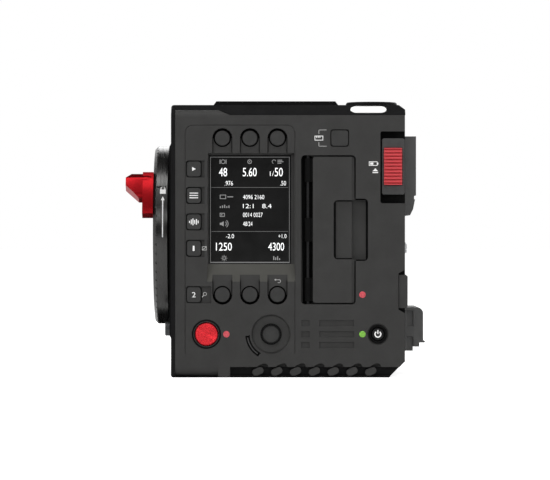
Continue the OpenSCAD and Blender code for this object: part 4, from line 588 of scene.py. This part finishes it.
def frame_lines(x0, x1, z0, z1, w, foot=None):
    """The four lines of a frame; the lowest may be thicker."""
    foot = foot or w
    return [bar(x0, x1, z0, z0 + foot), bar(x0, x1, z1 - w, z1), bar(x0, x0 + w, z0 + foot, z1 - w),
            bar(x1 - w, x1, z0 + foot, z1 - w)]


def figures(name, words, x0, x1, z0, z1, place, material, body=BODY, thin=0.0):
    """Plain figures, drawn to fill a rectangle in millimetres, with strokes made thinner by a share."""
    curve = bpy.data.curves.new(name, "FONT")
    curve.body = words
    curve.offset = -thin
    curve.resolution_u = 4
    source = bpy.data.objects.new(name + "_source", curve)
    bpy.context.scene.collection.objects.link(source)
    bpy.context.view_layer.update()
    shape = source.evaluated_get(bpy.context.evaluated_depsgraph_get()).to_mesh()
    flat = [(v.co.x, v.co.y) for v in shape.vertices]
    faces = [list(p.vertices) for p in shape.polygons]
    bpy.data.objects.remove(source)
    lo = [min(p[k] for p in flat) for k in (0, 1)]
    hi = [max(p[k] for p in flat) for k in (0, 1)]
    fitted = [(x0 + (p[0] - lo[0]) / (hi[0] - lo[0]) * (x1 - x0),
               z0 + (p[1] - lo[1]) / (hi[1] - lo[1]) * (z1 - z0)) for p in flat]
    return piece_of(name, [place(x, z, PRINT_RISE) for x, z in fitted], faces, material, body)


# Display: everything is measured from the lower front corner of the glass

DISPLAY_FRAME = (0.6, 37.66, 0.35, 49.85, 0.24, 0.5)
DIVIDER_X = (1.2, 37.0)
DIVIDER_Z = (35.5, 14.95)
DIVIDER_W = 0.17
SMALL_FIGURE_H = 2.5
THINNED = 0.008

# Name, words, and the left, right, lower and upper edge of each figure
FIGURES = (("rate", "48", 4.7, 8.5, 40.75, 44.75),
           ("aperture", "5.60", 15.8, 22.3, 40.75, 44.75),
           ("speed_part", "1/", 28.5, 30.3, 40.9, 43.1),
           ("speed", "50", 30.7, 34.5, 40.75, 44.75),
           ("rate_part", ".976", 7.4, 11.2, 36.5, 38.6),
           ("speed_rest", ".50", 33.3, 36.0, 36.5, 38.6),
           ("gain_step", "-2.0", 8.0, 11.7, 11.9, 13.8),
           ("tone_step", "+1.0", 32.4, 36.2, 11.9, 13.8),
           ("gain", "1250", 3.3, 10.7, 6.1, 9.8),
           ("tone", "4300", 27.7, 35.1, 6.1, 9.8))

# Name, words, height of the middle and width of each row between the dividers
ROWS = (("frame_size", "4096 2160", 31.1, 9.9),
        ("packing", "12:1   8.4", 26.9, 13.3),
        ("clip", "0014 0027", 22.8, 9.2),
        ("levels", "48/24", 18.6, 4.4))
ROW_X = 15.9
ROW_HALF_H = 1.0


def display():
    ox, oz = GLASS_LO.x, GLASS_LO.z
    face = over("screen_glass")

    def shift(outlines):
        return [[(ox + x, oz + z) for x, z in o] for o in outlines]

    plates("display_frame", shift(frame_lines(*DISPLAY_FRAME)), face, LIT_LINE)
    plates("display_dividers", shift([bar(*DIVIDER_X, z, z + DIVIDER_W) for z in DIVIDER_Z]), face, LIT_LINE)
    rows = tuple((name, words, ROW_X, ROW_X + width, z - ROW_HALF_H, z + ROW_HALF_H)
                 for name, words, z, width in ROWS)
    for name, words, x0, x1, z0, z1 in FIGURES + rows:
        figures("display_" + name, words, ox + x0, ox + x1, oz + z0, oz + z1, face, LIT_WHITE,
                thin=THINNED if z1 - z0 < SMALL_FIGURE_H else 0.0)

    rays = ((1, 0), (0.7, 0.7), (0, 1), (-0.7, 0.7), (-1, 0), (-0.7, -0.7), (0, -1), (0.7, -0.7))
    # Small symbols, from the top row down
    labels = (
        [band(6.6, 47.6, 0.75, 1.05), bar(5.0, 5.4, 46.6, 48.6), bar(7.8, 8.2, 46.6, 48.6)],
        [band(19.0, 47.6, 0.7, 1.05), bar(18.8, 19.2, 47.3, 47.9)],
        [band(30.4, 47.6, 0.7, 1.0, 20, 250), bar(32.0, 34.8, 47.4, 47.8), bar(32.0, 33.8, 46.7, 47.1),
         bar(32.0, 34.2, 48.1, 48.5)],
        frame_lines(5.1, 8.0, 30.2, 32.2, 0.3) + [bar(8.6, 11.3, 31.0, 31.4)],
        [bar(5.1 + i, 5.6 + i, 26.0, 26.8 + 0.35 * (i % 3)) for i in range(5)],
        frame_lines(5.1, 7.4, 21.9, 23.7, 0.3) + [bar(5.8, 6.2, 22.4, 23.2)],
        [bar(5.1, 5.8, 18.1, 19.1), [(5.8, 18.1), (6.9, 17.4), (6.9, 19.8), (5.8, 19.1)],
         band(6.9, 18.6, 1.1, 1.4, -50, 50), band(6.9, 18.6, 1.9, 2.2, -50, 50)],
        [band(7.1, 2.6, 0.5, 0.8)] + [stroke(7.1 + c, 2.6 + s, 7.1 + 1.45 * c, 2.6 + 1.45 * s, 0.28)
                                     for c, s in rays],
        [bar(30.0 + 0.9 * i, 30.5 + 0.9 * i, 1.7, top) for i, top in enumerate((3.5, 2.9, 3.5, 2.5))],
    )
    for i, marks in enumerate(labels):
        plates("display_label_%d" % (i + 1), shift(marks), face, LIT_GREY)


# Printed symbols of the panel

WEB_SINK = 1.1


def key_symbols():
    play = middle("play_key")
    plates("play_symbol", [[(play.x - 0.75, play.z - 0.95), (play.x + 0.95, play.z),
                            (play.x - 0.75, play.z + 0.95)]], over("play_key"), WHITE_PRINT_GLOWING, "play_key_body")
    menu = middle("menu_key")
    plates("menu_symbol", [bar(menu.x - 2.0, menu.x + 2.0, menu.z + k - 0.2, menu.z + k + 0.2)
                           for k in (-1.1, 0, 1.1)], over("menu_key"), WHITE_PRINT_GLOWING, "menu_key_body")
    audio = middle("audio_key")
    heights = (0.5, 1.1, 1.6, 0.9, 1.3, 0.6)
    plates("audio_symbol", [bar(audio.x - 2.2 + 0.8 * i, audio.x - 1.75 + 0.8 * i, audio.z - h, audio.z + h)
                            for i, h in enumerate(heights)],
           over("audio_key"), WHITE_PRINT_GLOWING, "audio_key_body")
    for i, left, right in ((1, 0.5, 0.35), (2, 0.85, 0.85)):
        node = "user_key_%d" % i
        key = middle(node)
        figures("user_figure_%d" % i, str(i), key.x - left, key.x + right, key.z - 1.2, key.z + 1.2,
                over(node), WHITE_PRINT_GLOWING, node + "_body")


def panel_symbols():
    cover = on_panel(PANEL_Y - PROUD)
    side_x = box("play_key")[1].x + 0.15
    pad_x = GLASS_LO.x - 0.75
    for node in ("play_key", "menu_key", "audio_key", "user_key_1"):
        lo, hi = box(node)
        plates("pad_beside_" + node, [bar(side_x + 0.4, pad_x, lo.z + 0.3, hi.z - 0.3)], cover, PAD_TINT,
               rise=2 * PROUD)
    one = middle("user_key_1")
    plates("curve_symbol", frame_lines(one.x + 3.9, one.x + 6.0, one.z - 0.9, one.z + 0.9, 0.22)
           + [stroke(one.x + 4.2, one.z - 0.6, one.x + 5.7, one.z + 0.6, 0.25)],
           on_panel(PANEL_Y - 3 * PROUD), SOFT_PRINT)
    two = middle("user_key_2")
    plates("magnifier_symbol", [band(two.x + 5.2, two.z + 0.35, 0.6, 0.85),
                                stroke(two.x + 4.6, two.z - 0.3, two.x + 3.9, two.z - 1.2, 0.28)],
           cover, SOFT_PRINT)
    back = middle("soft_key_6")
    bx, bz = back.x, back.z + 6.4
    plates("return_symbol", [bar(bx - 0.7, bx + 0.8, bz + 0.45, bz + 0.7),
                             band(bx + 0.8, bz - 0.1, 0.55, 0.8, -90, 90, 10),
                             bar(bx + 0.1, bx + 0.8, bz - 0.9, bz - 0.65),
                             [(bx - 1.5, bz + 0.575), (bx - 0.65, bz + 0.05), (bx - 0.65, bz + 1.1)]],
           on_panel(PANEL_Y + WEB_SINK - PROUD), SOFT_PRINT)

    media = middle("media_key")
    mx, mz = media.x, media.z
    card = frame_lines(mx - 11.7, mx - 7.7, mz - 1.1, mz + 1.1, 0.3)
    card += [bar(mx - 10.9 + 0.75 * i, mx - 10.55 + 0.75 * i, mz + 0.1, mz + 0.8) for i in range(3)]
    plates("card_symbol", card, cover, WHITE_PRINT_GLOWING)
    lines = []
    for s in (1, -1):
        lines += [bar(mx - 9.85, mx - 9.6, *sorted((mz + s * 1.9, mz + s * 3.9))),
                  bar(mx - 9.85, mx - 6.1, *sorted((mz + s * 3.9, mz + s * 3.65)))]
    plates("card_bracket", lines, cover, SOFT_PRINT)

    grip = middle("slider_grip")
    right = SLIDER_LO.x - 1.5
    plates("battery_symbol", frame_lines(right - 4.6, right - 0.6, grip.z + 0.3, grip.z + 2.3, 0.3)
           + [bar(right - 0.6, right - 0.2, grip.z + 0.85, grip.z + 1.75),
              bar(right - 4.0, right - 2.5, grip.z + 0.8, grip.z + 1.8)], cover, WHITE_PRINT_GLOWING)
    ex, ez = right - 1.6, grip.z - 2.9
    plates("eject_symbol", [bar(ex - 1.3, ex + 1.3, ez - 0.2, ez + 0.25),
                            [(ex - 1.3, ez + 0.65), (ex + 1.3, ez + 0.65), (ex, ez + 2.0)]],
           cover, WHITE_PRINT_GLOWING)


# Dark lines and rings of the panel, most of them painted shade

# Painted shade: a dark disc behind the dial knob, seen through its slots
SHADE_DISC_INNER = 2.2
SHADE_DISC_MARGIN = 0.08
SHADE_DISC_SINK = 1.2
SHADE_DISC_RISE = 0.1
ROUND_POINTS = 48
RECORD_RING = (5.72, 6.02)

# Name, inner and outer radius, first and last angle, sink and finish of each arc beside the dial
INDEX_POINTS = 24
INDEX_RISE = 0.02
# The two dark arcs are painted shade of the sunk mark beside the dial; the core arc between them is a
# lighter grey
INDEX_RINGS = (("index_edge", 9.95, 10.4, 182, 242, 0.0, BLACK_AND_PAINTED_SHADE),
               ("index_shade", 11.25, 11.64, 188.2, 235.8, 0.1, BLACK_AND_PAINTED_SHADE),
               ("index_core", 10.76, 11.25, 188.2, 235.8, 0.1, CARRIAGE))

# Finger pull, its half in the door and its half in the cover: distance of the end from the door's rear
# edge, width of the line there, width of the half, its lowest and highest place, and its sink
# The lines in each half are painted shade along the edges of its sunk floor
DOOR_PULL = (9.6, 1.1, 8.5, (55.05, 82.65), 1.7)
COVER_PULL = (6.4, 0.9, 5.5, (54.35, 83.35), 4.5)
SHADE_LINE_W = 0.6


def pull_groove(name, end, x, z, sink, body):
    """Painted shade: a dark line round three sides of a sunk floor; `end` is where the upright one runs."""
    plates(name, [bar(*end, *z), bar(*x, z[1] - SHADE_LINE_W, z[1]), bar(*x, z[0], z[0] + SHADE_LINE_W)],
           on_panel(PANEL_Y + sink), BLACK_AND_PAINTED_SHADE, body)


def panel_rings():
    knob_lo, knob_hi = box("dial_knob")
    rim = (knob_hi.x - knob_lo.x) / 2 + SHADE_DISC_MARGIN
    plates("dial_shade_disc", [band(DIAL.x, DIAL.z, SHADE_DISC_INNER, rim, n=ROUND_POINTS)],
           on_panel(PANEL_Y + SHADE_DISC_SINK), BLACK_AND_PAINTED_SHADE, "dial_body", rise=SHADE_DISC_RISE)
    for name, inner, outer, start, end, sink, material in INDEX_RINGS:
        plates(name, [band(DIAL.x, DIAL.z, inner, outer, start, end, INDEX_POINTS)],
               on_panel(PANEL_Y + sink), material, rise=INDEX_RISE)
    reach, line, width, z, sink = DOOR_PULL
    front = DOOR_HI.x - reach
    pull_groove("pull_shade_door", (front, front + line), (front, front + width), z, sink,
                "media_door_body")
    reach, line, width, z, sink = COVER_PULL
    rear = DOOR_HI.x + reach
    pull_groove("pull_shade_cover", (rear - line, rear), (rear - width, rear), z, sink, BODY)
    record = middle("record_button")
    plates("record_ring", [band(record.x, record.z, *RECORD_RING, n=ROUND_POINTS)],
           on_panel(box("record_bezel")[0].y), KEY)


def power_symbol():
    power = middle("power_button")
    plates("power_symbol", [band(power.x, power.z, 1.05, 1.65, -235, 55),
                            bar(power.x - 0.28, power.x + 0.28, power.z + 0.1, power.z + 1.9)],
           over("power_button"), WHITE_PRINT_GLOWING, "power_button_body")


# White pill on the sloped shoulder; the shares are of the slope's length

PLATE_X = (29.1, 45.9)
PLATE_LOW_SHARE, PLATE_HIGH_SHARE, PLATE_ROUND_SHARE = 0.22, 0.86, 0.31
PLATE_RISE = 0.08


def slope_plate():
    top = Vector((0, PANEL_Y + SHOULDER_RUN, ROOF_Z))
    foot = Vector((0, PANEL_Y, ROOF_Z - SHOULDER_H))
    along = (top - foot).normalized()
    out = Vector((0, -along.z, along.y))
    if out.y > 0:
        out = -out

    def place(x, z, rise):
        p = foot + along * z + out * (2 * PROUD + rise)
        return (x, p.y, p.z)

    length = (top - foot).length
    pill = round_bar(*PLATE_X, PLATE_LOW_SHARE * length, PLATE_HIGH_SHARE * length,
                     PLATE_ROUND_SHARE * length)
    plates("blank_plate", [pill], place, WHITE_PRINT_GLOWING, rise=PLATE_RISE)


# Lock ring: print wrapped on the rim, by angle above the operator's side

PRINT_SHARE = 0.62
ARROW_START = math.radians(-1.5)
ARROW_END = math.radians(22.5)
ARROW_PARTS = 12
LOCK_ANGLE = math.radians(28.6)
BEND_STEP = 0.7


def ring_print():
    x_mid = RING_LO.x + PRINT_SHARE * (RING_HI.x - RING_LO.x)

    def wrap(x, up, rise):
        a = up / RING_R
        r = RING_R + PROUD + rise
        return (x, -r * math.cos(a), LENS_Z + r * math.sin(a))

    def cut(outline):
        """Adds points to an outline so that it bends round the rim."""
        points = []
        for (x0, z0), (x1, z1) in zip(outline, outline[1:] + outline[:1]):
            n = max(1, int(abs(z1 - z0) / BEND_STEP))
            points += [(x0 + (x1 - x0) * i / n, z0 + (z1 - z0) * i / n) for i in range(n)]
        return points

    low, high = ARROW_START * RING_R, ARROW_END * RING_R
    step = (high - low) / ARROW_PARTS
    line = [bar(x_mid - 0.25, x_mid + 0.25, low + step * i, low + step * (i + 1))
            for i in range(ARROW_PARTS)]
    plates("lock_arrow", line + [[(x_mid - 0.9, high), (x_mid + 0.9, high), (x_mid, high + 2.0)]], wrap,
           WHITE_PRINT_GLOWING, "lock_ring_body")
    base = LOCK_ANGLE * RING_R
    plates("lock_symbol", [cut(bar(x_mid - 1.35, x_mid + 1.35, base - 1.2, base + 1.1)),
                           band(x_mid, base + 1.7, 0.7, 1.1, 0, 180, 14),
                           bar(x_mid - 1.1, x_mid - 0.7, base + 1.1, base + 1.7),
                           bar(x_mid + 0.7, x_mid + 1.1, base + 1.1, base + 1.7)],
           wrap, WHITE_PRINT_GLOWING, "lock_ring_body")


# Studio: pale floor, white surround, soft lamps and dark cards that only mirrors meet

SENSOR_WIDTH = 36.0
CAMERA_AT = Vector((-6.15, -1650.0, 64.1))
LENS = 223.9
WORLD_FILL = 0.3
FLOOR_LIFT = 0.83
AIM = (0.0, 0.0, 0.065)

# Name, place, size and power of each lamp, in metres and watts
LAMPS = (("top_soft", (0.0, -0.35, 1.2), (1.1, 0.35), 8.0),
         ("front_soft", (0.1, -1.6, 0.8), (1.0, 0.4), 4.5),
         ("left_soft", (-1.3, -1.0, 0.7), (0.8, 0.8), 5.5),
         ("right_soft", (1.4, -0.7, 0.6), (0.7, 0.9), 3.6),
         ("rear_soft", (0.3, 1.5, 0.9), (1.2, 0.8), 7.0))

# Name, size, place and turn of each card, in metres and degrees
CARDS = (("front_card", (4.4, 2.6), (0.0, -2.6, 1.1), (90, 0, 0)),
         # The card under the body is painted shade: mirrors meet it where the floor lies in the body's
         # shadow
         ("under_shade_card", (0.2, 0.132), (0.01, 0.054, 0.0004), (0, 0, 0)),
         ("roof_card", (4.0, 1.9), (0.0, 0.45, 1.45), (0, 0, 0)))


def camera():
    data = bpy.data.cameras.new("camera")
    data.sensor_width = SENSOR_WIDTH
    data.lens = LENS
    data.clip_start, data.clip_end = 0.05, 50.0
    made = bpy.data.objects.new("camera", data)
    made.location = CAMERA_AT * MM
    made.rotation_euler = (math.radians(90), 0, 0)
    bpy.context.scene.collection.objects.link(made)
    bpy.context.scene.camera = made


def seen_directly(tree):
    """One for rays from the camera, mirrors and clear glass, else nought."""
    path = tree.nodes.new("ShaderNodeLightPath")
    total = path.outputs["Is Camera Ray"]
    for name in ("Is Glossy Ray", "Is Transmission Ray"):
        add = tree.nodes.new("ShaderNodeMath")
        add.operation = "MAXIMUM"
        tree.links.new(total, add.inputs[0])
        tree.links.new(path.outputs[name], add.inputs[1])
        total = add.outputs[0]
    return total


def world(fill):
    made = bpy.data.worlds.new("studio")
    bpy.context.scene.world = made
    made.use_nodes = True
    tree = made.node_tree
    plain = tree.nodes["Background"]
    plain.inputs["Color"].default_value = (fill, fill, fill, 1)
    white = tree.nodes.new("ShaderNodeBackground")
    white.inputs["Color"].default_value = (1, 1, 1, 1)
    mix = tree.nodes.new("ShaderNodeMixShader")
    tree.links.new(seen_directly(tree), mix.inputs["Fac"])
    tree.links.new(plain.outputs[0], mix.inputs[1])
    tree.links.new(white.outputs[0], mix.inputs[2])
    tree.links.new(mix.outputs[0], tree.nodes["World Output"].inputs["Surface"])


def stage_plane(name, size, at, turn, material):
    mesh = bpy.data.meshes.new(name)
    w, h = size[0] / 2, size[1] / 2
    mesh.from_pydata([(-w, -h, 0), (w, -h, 0), (w, h, 0), (-w, h, 0)], [], [(0, 1, 2, 3)])
    mesh.materials.append(material)
    made = bpy.data.objects.new(name, mesh)
    made.location = at
    made.rotation_euler = [math.radians(a) for a in turn]
    bpy.context.scene.collection.objects.link(made)
    return made


def floor(lift):
    """Pale floor that keeps the shadow and otherwise shows white."""
    made = Finish("pale_floor", (0.8, 0.8, 0.8), 0.9, specular=0.0)
    made.tint(made.noise(40.0), (0.82, 0.82, 0.82))
    out = made.tree.nodes["Material Output"]
    glow = made.tree.nodes.new("ShaderNodeEmission")
    glow.inputs["Color"].default_value = (lift, lift, lift, 1)
    made.link(seen_directly(made.tree), glow.inputs["Strength"])
    add = made.tree.nodes.new("ShaderNodeAddShader")
    made.link(made.shader.outputs[0], add.inputs[0])
    made.link(glow.outputs[0], add.inputs[1])
    made.link(add.outputs[0], out.inputs["Surface"])
    stage_plane("floor", (40.0, 40.0), (0, 0, 0), (0, 0, 0), made.material)


def dark_card(name, size, at, turn):
    """Dark card that is met only by mirrored light."""
    made = Finish(name, (0.01, 0.01, 0.01), 1.0, specular=0.0)
    made.tint(made.noise(90.0), (0.013, 0.013, 0.013))
    card = stage_plane(name, size, at, turn, made.material)
    card.visible_camera = False
    card.visible_diffuse = False
    card.visible_transmission = False
    card.visible_shadow = False


def lamp(name, at, size, power):
    data = bpy.data.lights.new(name, "AREA")
    data.shape = "RECTANGLE"
    data.size, data.size_y = size
    data.energy = power
    made = bpy.data.objects.new(name, data)
    made.location = at
    made.rotation_euler = (Vector(AIM) - Vector(at)).to_track_quat("-Z", "Y").to_euler()
    bpy.context.scene.collection.objects.link(made)


def studio():
    camera()
    world(WORLD_FILL)
    floor(FLOOR_LIFT)
    for card in CARDS:
        dark_card(*card)
    for values in LAMPS:
        lamp(*values)
    bpy.context.scene.view_settings.view_transform = "Standard"


display()
key_symbols()
panel_symbols()
panel_rings()
power_symbol()
slope_plate()
ring_print()
studio()
